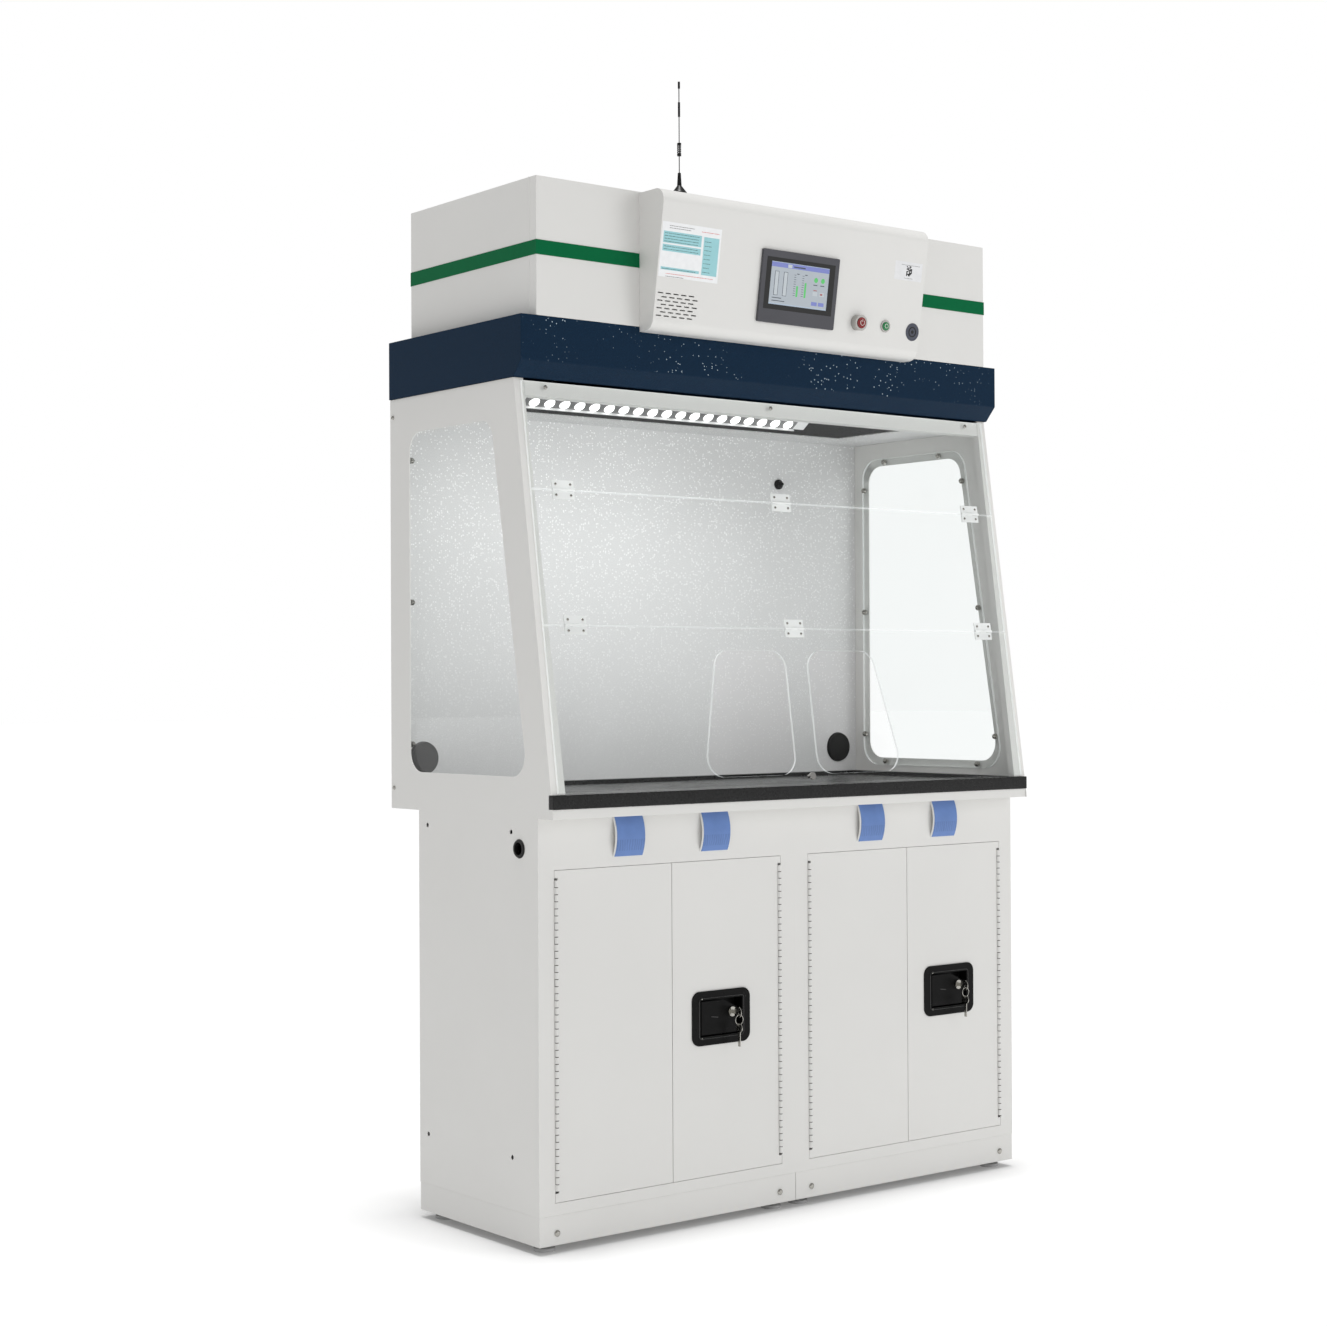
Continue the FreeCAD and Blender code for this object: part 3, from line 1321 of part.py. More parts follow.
# ---------------------------------------------------------------- checks and export
def check(items):
    """Stop when any object failed to build or any sub-part isn't a valid shape."""
    for item in document.Objects:
        if "Invalid" in item.State or "Error" in item.State:
            raise RuntimeError("%s (%s) is %s" % (item.Label, item.Name, item.State))
    for item in items:
        if item.Shape.isNull() or not item.Shape.isValid() or not item.Shape.Solids:
            raise RuntimeError("%s has no valid solid" % item.Label)


def export(items):
    """Write each sub-part to its own file."""
    os.makedirs("parts", exist_ok=True)
    for item in items:
        item.Shape.exportStep("parts/%s.step" % item.Label)
        print("%-28s %2d solid(s) %12.0f mm3" % (item.Label, len(item.Shape.Solids), item.Shape.Volume))


def build():
    """Make every sub-part."""
    fill_sheet()
    for side in CABINETS:
        cabinet_shell(side)
    plinths()
    shelves()
    levelling_feet()
    side_grommets()
    door_hinge_frame_leaves()
    for name in DOORS:
        door(name)
    for side in LATCHES:
        latch_dish(side)
        latch_paddle(side)
        latch_bolt(side)
        lock_with_keys(side)
    label_strips()
    for side in CABINETS:
        side_panel(side)
    side_windows()
    window_fasteners()
    rear_walls()
    port_caps()
    airflow_sensor()
    ceiling_panel()
    header_rail()
    base_frame()
    worktop()
    sashes()
    sash_hinges()
    sash_knob()
    panel_screws()
    lamp()
    band()
    filter_housing()
    housing_rear_panel()
    roof_panel()
    stripe()
    filters()
    fan_housing()
    fan_impeller()
    control_box()
    touch_panel()
    buttons()
    antenna()
    mains_gland()
    document.recompute()
    check(parts)
    export(parts)


build()
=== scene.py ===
"""Looks for the ductless fume hood: finishes for every CAD node, and the small pieces that need mesh work.

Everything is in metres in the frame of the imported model. Places come from the frame, and the sizes of
the added pieces are named here.
"""

import json
import math
import random

import bmesh
import bpy
from mathutils import Matrix, Vector


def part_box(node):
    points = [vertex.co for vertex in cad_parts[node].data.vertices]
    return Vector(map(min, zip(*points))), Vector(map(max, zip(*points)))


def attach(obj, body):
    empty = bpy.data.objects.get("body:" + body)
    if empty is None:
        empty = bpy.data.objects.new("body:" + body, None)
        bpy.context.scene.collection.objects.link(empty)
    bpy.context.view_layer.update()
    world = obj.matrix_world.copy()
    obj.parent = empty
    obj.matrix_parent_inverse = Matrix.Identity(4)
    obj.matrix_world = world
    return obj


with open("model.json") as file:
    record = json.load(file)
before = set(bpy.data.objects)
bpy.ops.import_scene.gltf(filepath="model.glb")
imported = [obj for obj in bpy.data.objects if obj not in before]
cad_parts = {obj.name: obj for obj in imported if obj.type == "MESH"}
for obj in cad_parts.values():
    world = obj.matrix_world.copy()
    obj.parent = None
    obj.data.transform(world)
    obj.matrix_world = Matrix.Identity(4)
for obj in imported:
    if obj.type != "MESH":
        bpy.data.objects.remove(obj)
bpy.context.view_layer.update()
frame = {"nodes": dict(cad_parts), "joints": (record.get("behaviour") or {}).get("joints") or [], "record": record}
NODES = frame["nodes"]
JOINTS = {joint["name"]: joint for joint in frame["joints"]}
MM = 0.001


# ---------------------------------------------------------------- frames of the leaning surfaces
def sash_lean():
    """Angle by which the sash leans back, from its two hinge rows."""
    low = JOINTS["lower_sash_fold"]["pos_m"]
    high = JOINTS["middle_sash_fold"]["pos_m"]
    return math.atan2(high[1] - low[1], high[2] - low[2])


LEAN = sash_lean()
PRESS = Vector(JOINTS["power_button_press"]["axis"])
TIP = math.atan2(PRESS.z, PRESS.y)
BEZEL_PROUD = 6 * MM
LENS_PITCH = 35.7 * MM
LENS_INNER = 10.4 * MM
LENS_OUTER = 11.4 * MM


def sash_point(joint_name, x, up, out):
    """A point from a hinge row of the sash: across, up the slope and out from the row's axis."""
    row = Vector(JOINTS[joint_name]["pos_m"])
    up_slope = Vector((0, math.sin(LEAN), math.cos(LEAN)))
    outward = Vector((0, -math.cos(LEAN), math.sin(LEAN)))
    return Vector((x, row.y, row.z)) + up_slope * up + outward * out


def panel_matrix():
    """Frame of the control box's face: x across, z up the face, -y outward, from the bezel's foot."""
    low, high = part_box("touch_panel")
    height = (high.z - low.z - BEZEL_PROUD * math.sin(TIP)) / math.cos(TIP)
    foot = Vector((0, low.y + height * math.sin(TIP), low.z)) + PRESS * BEZEL_PROUD
    return Matrix.Translation(foot) @ Matrix.Rotation(TIP, 4, "X")


PANEL = panel_matrix()


# ---------------------------------------------------------------- shader helpers
# The mix node keeps sockets for every kind of value, and these are the ones for colours.
MIX_SHARE = 0
MIX_FIRST_COLOUR = 6
MIX_SECOND_COLOUR = 7
MIX_COLOUR = 2


class Shader:
    """A material's node tree with short calls for adding and joining nodes."""

    def __init__(self, name):
        self.material = bpy.data.materials.new(name)
        self.material.use_nodes = True
        self.tree = self.material.node_tree
        self.surface = self.tree.nodes["Principled BSDF"]
        self.coords = None

    def add(self, kind, **inputs):
        """A node with its named inputs set to numbers, or linked to the sockets given."""
        node = self.tree.nodes.new(kind)
        for key, value in inputs.items():
            self.put(node.inputs[key.replace("_", " ")], value)
        return node

    def put(self, socket, value):
        """Link or set one input."""
        if isinstance(value, bpy.types.NodeSocket):
            self.tree.links.new(value, socket)
        else:
            socket.default_value = value

    def set(self, **inputs):
        """Set or link inputs of the material's main shader."""
        for key, value in inputs.items():
            self.put(self.surface.inputs[key.replace("_", " ")], value)

    def coordinate(self, kind):
        """One output of the coordinate node, which is made when it is first asked for."""
        if self.coords is None:
            self.coords = self.tree.nodes.new("ShaderNodeTexCoord")
        return self.coords.outputs[kind]

    def position(self):
        """Coordinates that ride with the piece."""
        return self.coordinate("Object")

    def noise(self, scale, detail=3.0, roughness=0.5):
        """Noise over the piece, as a value."""
        node = self.add("ShaderNodeTexNoise", Vector=self.position(), Scale=scale, Detail=detail,
                        Roughness=roughness)
        return node.outputs["Fac"]

    def cells(self, scale):
        """Voronoi cells over the piece."""
        return self.add("ShaderNodeTexVoronoi", Vector=self.position(), Scale=scale)

    def flakes(self, scale, rarity, reach):
        """Small round specks in the rarest cells, as a value of 0 or 1."""
        cells = self.cells(scale)
        split = self.add("ShaderNodeSeparateColor", Color=cells.outputs["Color"])
        chosen = self.maths("GREATER_THAN", split.outputs[0], rarity)
        near = self.maths("LESS_THAN", cells.outputs["Distance"], reach)
        return self.maths("MULTIPLY", chosen, near)

    def ramp(self, value, low, high, dark=0.0, light=1.0):
        """A value mapped from one range to another and clamped."""
        node = self.add("ShaderNodeMapRange", Value=value, From_Min=low, From_Max=high, To_Min=dark,
                        To_Max=light)
        return node.outputs["Result"]

    def blend(self, share, first, second):
        """Two colours mixed by a share."""
        node = self.tree.nodes.new("ShaderNodeMix")
        node.data_type = "RGBA"
        self.put(node.inputs[MIX_SHARE], share)
        self.put(node.inputs[MIX_FIRST_COLOUR], first)
        self.put(node.inputs[MIX_SECOND_COLOUR], second)
        return node.outputs[MIX_COLOUR]

    def bump(self, height, strength, distance):
        """Surface relief from a height."""
        node = self.add("ShaderNodeBump", Height=height, Strength=strength, Distance=distance)
        self.put(self.surface.inputs["Normal"], node.outputs["Normal"])

    def maths(self, operation, first, second=0.0):
        """One arithmetic step."""
        node = self.tree.nodes.new("ShaderNodeMath")
        node.operation = operation
        self.put(node.inputs[0], first)
        self.put(node.inputs[1], second)
        return node.outputs[0]


def grey(level):
    """A neutral colour of one brightness."""
    return (level, level, level, 1.0)


def scaled(colour, factor):
    """A colour made lighter or darker."""
    return tuple(min(1.0, c * factor) for c in colour[:3]) + (1.0,)


# ---------------------------------------------------------------- materials
def powder_coat(name, colour):
    """Baked powder paint: fine orange peel, slight drift in shade and gloss."""
    shader = Shader(name)
    drift = 0.015
    cloud = shader.noise(3.0, 4.0)
    fine = shader.noise(1500, 2.0)
    shade = shader.ramp(cloud, 0.3, 0.7)
    tone = shader.blend(shade, scaled(colour, 1 - drift), scaled(colour, 1 + drift))
    gloss = shader.ramp(shader.noise(40.0), 0.3, 0.7, 0.38, 0.52)
    shader.set(Base_Color=tone, Roughness=gloss, Specular_IOR_Level=0.35)
    shader.bump(fine, 0.18, 0.0004)
    return shader.material


def textured_liner(name, colour):
    """Coarse textured coat with painted glints of the lamp: white specks laid into its colour, more of them higher
    up.
    """
    shader = Shader(name)
    lumps = shader.noise(420.0, 2.0, 0.6)
    cloud = shader.noise(2.2, 3.0)
    tone = shader.blend(shader.ramp(cloud, 0.3, 0.7), scaled(colour, 0.97), scaled(colour, 1.03))
    # Painted glints of the lamp: white specks in the colour, more of them higher up, nearer the lamp.
    height = shader.add("ShaderNodeSeparateXYZ", Vector=shader.position()).outputs[2]
    low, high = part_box("rear_liner")
    share = shader.ramp(height, low.z, high.z, 0.1, 1.0)
    painted_glints = shader.maths("MULTIPLY", shader.flakes(210.0, 0.62, 0.36), share)
    shader.set(Base_Color=shader.blend(painted_glints, tone, grey(1.0)), Roughness=0.5, Specular_IOR_Level=0.3)
    shader.bump(lumps, 0.4, 0.001)
    return shader.material


def sparkle_coat(name, colour):
    """Dark textured paint with painted glints: drifts of bright pin-point flakes on its front face only, where the
    light catches them.
    """
    shader = Shader(name)
    skin = shader.noise(420.0, 3.0, 0.6)
    tone = shader.blend(shader.ramp(skin, 0.35, 0.65), scaled(colour, 0.85), scaled(colour, 1.2))
    # Painted glints: bright flecks only on faces turned to the front, gathered in drifts.
    forward = shader.add("ShaderNodeSeparateXYZ", Vector=shader.coordinate("Normal")).outputs[1]
    glint_front_faces = shader.maths("LESS_THAN", forward, -0.9)
    glint_drifts = shader.maths("MULTIPLY", shader.ramp(shader.noise(7.0, 2.0), 0.42, 0.62), glint_front_faces)
    painted_flake_glints = shader.maths("MULTIPLY", shader.flakes(210.0, 0.8, 0.2), glint_drifts)
    painted_glint_blue = (0.75, 0.9, 1.0, 1)
    shader.set(Base_Color=shader.blend(painted_flake_glints, tone, painted_glint_blue), Roughness=0.5, Specular_IOR_Level=0.1)
    shader.bump(skin, 0.5, 0.001)
    return shader.material


def film(name, colour, specular=0.3):
    """Printed or cut self-adhesive film with a faint grain."""
    shader = Shader(name)
    tone = shader.blend(shader.ramp(shader.noise(90.0), 0.3, 0.7), scaled(colour, 0.97), scaled(colour, 1.03))
    shader.set(Base_Color=tone, Roughness=0.4, Specular_IOR_Level=specular)
    shader.bump(shader.noise(700.0), 0.05, 0.0002)
    return shader.material


def moulding(name, colour, rough=0.42, relief=0.25, specular=0.3):
    """Moulded plastic or rubber with a spark-eroded grain and slightly worn gloss."""
    shader = Shader(name)
    grain = shader.noise(1100, 2.0)
    gloss = shader.ramp(shader.noise(25.0, 4.0), 0.35, 0.7, rough - 0.07, rough + 0.08)
    tone = shader.blend(shader.ramp(shader.noise(8.0), 0.3, 0.7), scaled(colour, 0.92), scaled(colour, 1.08))
    shader.set(Base_Color=tone, Roughness=gloss, Specular_IOR_Level=specular)
    shader.bump(grain, relief, 0.0003)
    return shader.material


def plated(name, colour, rough):
    """Plated metal with faint handling marks."""
    shader = Shader(name)
    marks = shader.ramp(shader.noise(60.0, 6.0, 0.7), 0.35, 0.75, rough * 0.7, rough * 1.9)
    shader.set(Base_Color=colour, Roughness=marks, Metallic=1.0)
    return shader.material


def brushed(name, colour, stretch):
    """Rolled or brushed metal with streaks along one direction."""
    shader = Shader(name)
    mapping = shader.add("ShaderNodeMapping", Vector=shader.position())
    mapping.inputs["Scale"].default_value = stretch
    noise = shader.add("ShaderNodeTexNoise", Vector=mapping.outputs[0], Scale=1.0, Detail=3.0)
    streaks = noise.outputs["Fac"]
    shader.set(Base_Color=colour, Roughness=shader.ramp(streaks, 0.3, 0.7, 0.24, 0.46), Metallic=1.0)
    shader.bump(streaks, 0.12, 0.0002)
    return shader.material


def spangled(name):
    """Galvanised sheet with its crystal spangle."""
    shader = Shader(name)
    spangle = shader.add("ShaderNodeSeparateColor", Color=shader.cells(70.0).outputs["Color"])
    tone = shader.blend(spangle.outputs[0], grey(0.52), grey(0.66))
    gloss = shader.ramp(spangle.outputs[1], 0.0, 1.0, 0.3, 0.5)
    shader.set(Base_Color=tone, Roughness=gloss, Metallic=1.0)
    return shader.material


def phenolic(name):
    """Black laboratory worktop: satin, faintly mottled, with wipe marks."""
    shader = Shader(name)
    wipe = shader.ramp(shader.noise(7.0, 5.0, 0.65), 0.35, 0.7, 0.2, 0.34)
    mottle = shader.blend(shader.ramp(shader.noise(320.0), 0.35, 0.65), grey(0.006), grey(0.016))
    shader.set(Base_Color=mottle, Roughness=wipe, Specular_IOR_Level=0.25)
    shader.bump(shader.noise(900.0), 0.12, 0.0002)
    return shader.material


def clear_sheet(name, normal):
    """Clear acrylic: see-through faces that mirror at a glance, and pale sawn edges with a painted glow."""
    shader = Shader(name)
    tree = shader.tree
    across = tree.nodes.new("ShaderNodeVectorMath")
    across.operation = "DOT_PRODUCT"
    shader.put(across.inputs[0], shader.coordinate("Normal"))
    shader.put(across.inputs[1], normal)
    flatness = shader.maths("ABSOLUTE", across.outputs["Value"])
    is_edge = shader.maths("LESS_THAN", flatness, 0.8)
    glance = shader.add("ShaderNodeLayerWeight", Blend=0.5).outputs["Facing"]
    mirrored = shader.ramp(shader.maths("POWER", glance, 4.0), 0.0, 1.0, 0.012, 0.6)
    haze = shader.ramp(shader.noise(5.0, 4.0, 0.6), 0.45, 0.75, 0.0, 0.008)
    clear = shader.add("ShaderNodeBsdfTransparent", Color=(0.985, 0.992, 0.99, 1))
    mirror = shader.add("ShaderNodeBsdfGlossy", Color=(1, 1, 1, 1), Roughness=0.02)
    face = tree.nodes.new("ShaderNodeMixShader")
    shader.put(face.inputs[0], shader.maths("ADD", mirrored, haze))
    tree.links.new(clear.outputs[0], face.inputs[1])
    tree.links.new(mirror.outputs[0], face.inputs[2])
    # Sawn edges: pale and half see-through, with a small painted glow for the light they catch.
    shader.set(Base_Color=(0.93, 0.95, 0.95, 1), Roughness=0.25, Alpha=0.62,
               Emission_Color=(0.95, 1.0, 1.0, 1), Emission_Strength=0.22)
    both = tree.nodes.new("ShaderNodeMixShader")
    shader.put(both.inputs[0], is_edge)
    tree.links.new(face.outputs[0], both.inputs[1])
    tree.links.new(shader.surface.outputs[0], both.inputs[2])
    tree.links.new(both.outputs[0], tree.nodes["Material Output"].inputs["Surface"])
    return shader.material


def lit(name, colour, strength, rough=0.25):
    """A surface that glows by itself, such as a lens or a display."""
    shader = Shader(name)
    drift = shader.blend(shader.ramp(shader.noise(35.0), 0.3, 0.7), scaled(colour, 0.96), colour)
    shader.set(Base_Color=drift, Roughness=rough, Emission_Color=colour, Emission_Strength=strength)
    return shader.material


def lamp_lens(name, strength):
    """Row of glowing round lenses on a dull bed."""
    shader = Shader(name)
    low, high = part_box("lamp_lenses")
    middle = (low + high) / 2
    split = shader.add("ShaderNodeSeparateXYZ", Vector=shader.position())
    steps = shader.maths("DIVIDE", shader.maths("SUBTRACT", split.outputs[0], middle.x), LENS_PITCH)
    across = shader.maths("MULTIPLY", shader.maths("PINGPONG", steps, 0.5), LENS_PITCH)
    back = shader.maths("SUBTRACT", split.outputs[1], middle.y)
    up = shader.maths("SUBTRACT", split.outputs[2], middle.z)
    offset = shader.add("ShaderNodeCombineXYZ", X=across, Y=back, Z=up)
    reach = shader.tree.nodes.new("ShaderNodeVectorMath")
    reach.operation = "LENGTH"
    shader.put(reach.inputs[0], offset.outputs[0])
    glow = shader.ramp(reach.outputs["Value"], LENS_INNER, LENS_OUTER, strength, 0.0)
    tone = shader.blend(shader.ramp(glow, 0.2, 1.0), grey(0.22), grey(0.9))
    shader.set(Base_Color=tone, Roughness=0.25, Emission_Color=grey(1.0), Emission_Strength=glow)
    return shader.material


def filter_mat(name):
    """Black non-woven mat with loose fibres."""
    shader = Shader(name)
    fibres = shader.noise(600.0, 6.0, 0.8)
    shader.set(Base_Color=shader.blend(fibres, grey(0.004), grey(0.03)), Roughness=0.95)
    shader.bump(fibres, 0.8, 0.001)
    return shader.material


def label_card(name, colour):
    """Blue card with faint darker print in its lower half."""
    shader = Shader(name)
    height = shader.add("ShaderNodeSeparateXYZ", Vector=shader.position()).outputs[2]
    low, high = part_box("label_cards")
    share = shader.ramp(height, low.z, high.z)
    over_foot = shader.maths("GREATER_THAN", share, 0.14)
    under_top = shader.maths("LESS_THAN", share, 0.42)
    in_band = shader.maths("MULTIPLY", over_foot, under_top)
    wave = shader.add("ShaderNodeTexWave", Vector=shader.position(), Scale=55.0, Distortion=5.0, Detail=3.0)
    print_share = shader.maths("MULTIPLY", in_band, shader.maths("MULTIPLY", wave.outputs["Fac"], 0.45))
    drift = shader.ramp(shader.noise(30.0), 0.3, 0.7)
    cloud = shader.blend(drift, scaled(colour, 0.94), scaled(colour, 1.06))
    tone = shader.blend(print_share, cloud, scaled(colour, 0.62))
    shader.set(Base_Color=tone, Roughness=0.45, Specular_IOR_Level=0.3)
    return shader.material


WHITE = (0.735, 0.73, 0.71, 1)
MATERIALS = {
    "white_paint": powder_coat("white_powder_coat", WHITE),
    "liner_paint": textured_liner("textured_liner", grey(0.70)),
    "navy_paint": sparkle_coat("navy_sparkle_coat", (0.004, 0.019, 0.044, 1)),
    "green_stripe": film("green_film", (0.0, 0.125, 0.042, 1), specular=0.1),
    "worktop_resin": phenolic("black_phenolic"),
    "clear_acrylic": clear_sheet("clear_sash", (0, -math.cos(LEAN), math.sin(LEAN))),
    "hinge_plastic": moulding("hinge_plastic", (0.84, 0.86, 0.85, 1), rough=0.22, relief=0.05),
    "hinge_steel": brushed("zinc_steel", (0.66, 0.66, 0.63, 1), stretch=(300, 300, 12)),
    "nickel": plated("nickel_plate", (0.40, 0.39, 0.36, 1), rough=0.2),
    "chrome": plated("chrome_plate", (0.46, 0.45, 0.43, 1), rough=0.12),
    "galvanised": spangled("galvanised_sheet"),
    "latch_black": moulding("latch_black", grey(0.004), rough=0.34, specular=0.1),
    "port_black": moulding("port_black", grey(0.014), rough=0.45),
    "antenna_black": moulding("antenna_black", grey(0.005), rough=0.35),
    "foot_rubber": moulding("foot_rubber", grey(0.5), rough=0.6),
    "grommet_rubber": moulding("grommet_rubber", grey(0.006), rough=0.5),
    "label_blue": label_card("label_card_blue", (0.13, 0.225, 0.49, 1)),
    # The tray is no lamp: its faint glow is painted light from the lenses beside it.
    "lamp_white": lit("lamp_tray_painted_glow", grey(0.85), strength=0.1),
    "lamp_lens": lamp_lens("lamp_lens_lit", strength=2.5),
    "filter_black": filter_mat("filter_mat"),
    "filter_case": moulding("filter_case", (0.8, 0.8, 0.76, 1)),
    "bezel_black": moulding("bezel_grey", (0.075, 0.075, 0.085, 1), rough=0.4),
    "screen_glass": lit("screen_backlight", (0.36, 0.43, 0.52, 1), strength=0.25, rough=0.06),
    "button_red": lit("button_red", (0.20, 0.006, 0.006, 1), strength=0.05, rough=0.18),
    "button_green": lit("button_green", (0.008, 0.17, 0.05, 1), strength=0.12, rough=0.18),
}
SIDE_GLASS = clear_sheet("clear_side_window", (1, 0, 0))
GLOSS_BLACK = moulding("gloss_black", grey(0.006), rough=0.16, relief=0.0, specular=0.5)


def finish_nodes():
    """Give every CAD node the material of its slot."""
    for entry in frame["record"]["subparts"]:
        node = NODES[entry["node"]]
        material = SIDE_GLASS if entry["node"] == "side_windows" else MATERIALS[entry["material_slot"]]
        node.data.materials.clear()
        node.data.materials.append(material)


SOFTENED = {
    # node: radius of its folded or moulded edges, in mm
    "left_cabinet_shell": 0.9, "right_cabinet_shell": 0.9, "plinths": 0.8, "left_outer_door": 0.8,
    "left_inner_door": 0.8, "right_inner_door": 0.8, "right_outer_door": 0.8, "left_side_panel": 0.7,
    "right_side_panel": 0.7, "header_rail": 0.6, "base_frame": 0.8, "worktop": 1.2, "band": 1.2,
    "filter_housing": 1.0, "control_box": 0.7, "touch_panel": 0.8, "left_latch_dish": 0.6,
    "right_latch_dish": 0.6, "left_latch_paddle": 0.7, "right_latch_paddle": 0.7, "rear_cover": 0.5,
    "label_holders": 0.4,
}


def soften_edges():
    """Round the sharp edges of folded and moulded nodes so that they catch the light."""
    for name, radius in SOFTENED.items():
        node = NODES[name]
        weld = node.modifiers.new("weld", "WELD")
        weld.merge_threshold = 0.02 * MM
        flat = node.modifiers.new("flat_faces", "DECIMATE")
        flat.decimate_type = "DISSOLVE"
        flat.angle_limit = math.radians(0.5)
        bevel = node.modifiers.new("soft_edge", "BEVEL")
        bevel.width = radius * MM
        bevel.segments = 2
        bevel.limit_method = "ANGLE"
        bevel.angle_limit = math.radians(40)
        bevel.loop_slide = False
        normals = node.modifiers.new("even_shading", "WEIGHTED_NORMAL")
        normals.keep_sharp = False


# ---------------------------------------------------------------- mesh helpers
def piece(name, mesh_maker, material, body):
    """A new piece from a bmesh, with its finish or list of finishes, riding on a body."""
    mesh = bpy.data.meshes.new(name)
    bm = bmesh.new()
    mesh_maker(bm)
    bmesh.ops.recalc_face_normals(bm, faces=bm.faces)
    bm.to_mesh(mesh)
    bm.free()
    obj = bpy.data.objects.new(name, mesh)
    bpy.context.scene.collection.objects.link(obj)
    finishes = material if isinstance(material, list) else [material]
    for finish in finishes:
        mesh.materials.append(finish)
    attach(obj, body)
    return obj


def smooth(obj, angle=35):
    """Shade a piece smooth, keeping edges sharper than an angle."""
    for polygon in obj.data.polygons:
        polygon.use_smooth = True
    obj.data.set_sharp_from_angle(angle=math.radians(angle))


def lathe(bm, profile, matrix, steps=24):
    """A turned shape: (radius, height) points swept round the matrix's z axis."""
    rings = []
    for radius, height in profile:
        ring = []
        for i in range(steps):
            turn = 2 * math.pi * i / steps
            point = Vector((radius * math.cos(turn), radius * math.sin(turn), height))
            ring.append(bm.verts.new(matrix @ point))
        rings.append(ring)
    for lower, upper in zip(rings, rings[1:]):
        for i in range(steps):
            j = (i + 1) % steps
            bm.faces.new((lower[i], lower[j], upper[j], upper[i]))
    bm.faces.new(rings[0])
    bm.faces.new(rings[-1])


def block(bm, matrix, low, high, index=0):
    """A closed box between two corners in the matrix's frame."""
    corners = [bm.verts.new(matrix @ Vector((x, y, z)))
               for x in (low[0], high[0]) for y in (low[1], high[1]) for z in (low[2], high[2])]
    for loop in ((0, 1, 3, 2), (4, 6, 7, 5), (0, 4, 5, 1), (2, 3, 7, 6), (0, 2, 6, 4), (1, 5, 7, 3)):
        face = bm.faces.new([corners[i] for i in loop])
        face.material_index = index


def facing(point, direction):
    """Frame at a point whose z axis runs along a direction."""
    turn = Vector(direction).to_track_quat("Z", "Y").to_matrix().to_4x4()
    return Matrix.Translation(point) @ turn


def screw_head(bm, matrix, radius):
    """Pan head with a hexagon socket."""
    height = radius * 0.55
    lathe(bm, [(radius, 0), (radius, height * 0.45), (radius * 0.8, height * 0.85),
               (radius * 0.5, height), (radius * 0.5, height * 0.35), (radius * 0.05, height * 0.3)],
          matrix, 18)


# ---------------------------------------------------------------- door hinges
HINGE_PITCH = 26 * MM
WEB_REACH = (3.0 * MM, 3.95 * MM)
ROOT_FRONT = 1.2 * MM
ROOT_BACK = 1.5 * MM
ROOT_GAP = 0.3 * MM
SEAM_SHADE_RADIUS = 3.56 * MM
SEAM_SHADE_LENGTH = 1.4 * MM
DOOR_HANDS = {
    # door: side of its hinge axis on which the frame lies
    "left_outer_door": -1, "left_inner_door": 1, "right_inner_door": -1, "right_outer_door": 1,
}


def hinge_webs():
    """Rolled roots of the hinge knuckles, on frame and door by turns, and a dark ring at each seam as painted
    shade.
    """
    low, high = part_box("door_hinge_frame_leaves")
    count = round((high.z - low.z) / HINGE_PITCH)
    axes = {door: JOINTS[door + "_hinge"]["pos_m"] for door in DOOR_HANDS}
    white = MATERIALS["white_paint"]
    for door, hand in DOOR_HANDS.items():
        door_roots = knuckle_roots([(axes[door], -hand, 1)], low.z, count)
        smooth(piece(door + "_hinge_roots", door_roots, white, door))
    frame_roots = knuckle_roots([(axes[door], hand, 0) for door, hand in DOOR_HANDS.items()], low.z, count)
    smooth(piece("frame_hinge_roots", frame_roots, white, "hood"))

    # Dark rings at the knuckle seams: painted shade standing in for the shadowed gaps between knuckles.
    def seam_shade_rings(bm):
        for axis in axes.values():
            for i in range(2 * count):
                spot = Vector((axis[0], axis[1], low.z + i * HINGE_PITCH / 2 - SEAM_SHADE_LENGTH / 2))
                lathe(bm, [(SEAM_SHADE_RADIUS, 0), (SEAM_SHADE_RADIUS, SEAM_SHADE_LENGTH)], Matrix.Translation(spot), 20)
    smooth(piece("hinge_seam_shade_rings", seam_shade_rings, MATERIALS["port_black"], "hood"))


def knuckle_roots(rows, start, count):
    """Maker of the small webs beside every second knuckle of the given hinge rows."""
    half = HINGE_PITCH / 2

    def make(bm):
        for axis, hand, first in rows:
            near, far = sorted((axis[0] + hand * WEB_REACH[0], axis[0] + hand * WEB_REACH[1]))
            for i in range(count):
                foot = start + (2 * i + first) * half
                block(bm, Matrix(), (near, axis[1] - ROOT_FRONT, foot + ROOT_GAP),
                      (far, axis[1] + ROOT_BACK, foot + half - ROOT_GAP))
    return make


# ---------------------------------------------------------------- sash hardware
HINGE_SCREW_RADIUS = 2.6 * MM
HINGE_SCREW_ACROSS = 17 * MM
HINGE_SCREW_UP = 10.5 * MM
HALF_HINGE = 25 * MM
LEAF_FACE = -0.5 * MM


def hinge_screws(name, body, rows):
    """Two screws in each hinge leaf, for the rows and directions that a body carries."""
    low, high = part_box("upper_sash_hinges")
    reach = (high.x - low.x) / 2 - HALF_HINGE
    outward = (0, -math.cos(LEAN), math.sin(LEAN))

    def make(bm):
        for joint_name, direction in rows:
            for x in (-reach, 0, reach):
                for side in (-1, 1):
                    spot = sash_point(joint_name, x + side * HINGE_SCREW_ACROSS,
                                      direction * HINGE_SCREW_UP, LEAF_FACE)
                    screw_head(bm, facing(spot, outward), HINGE_SCREW_RADIUS)
    smooth(piece(name, make, MATERIALS["nickel"], body))


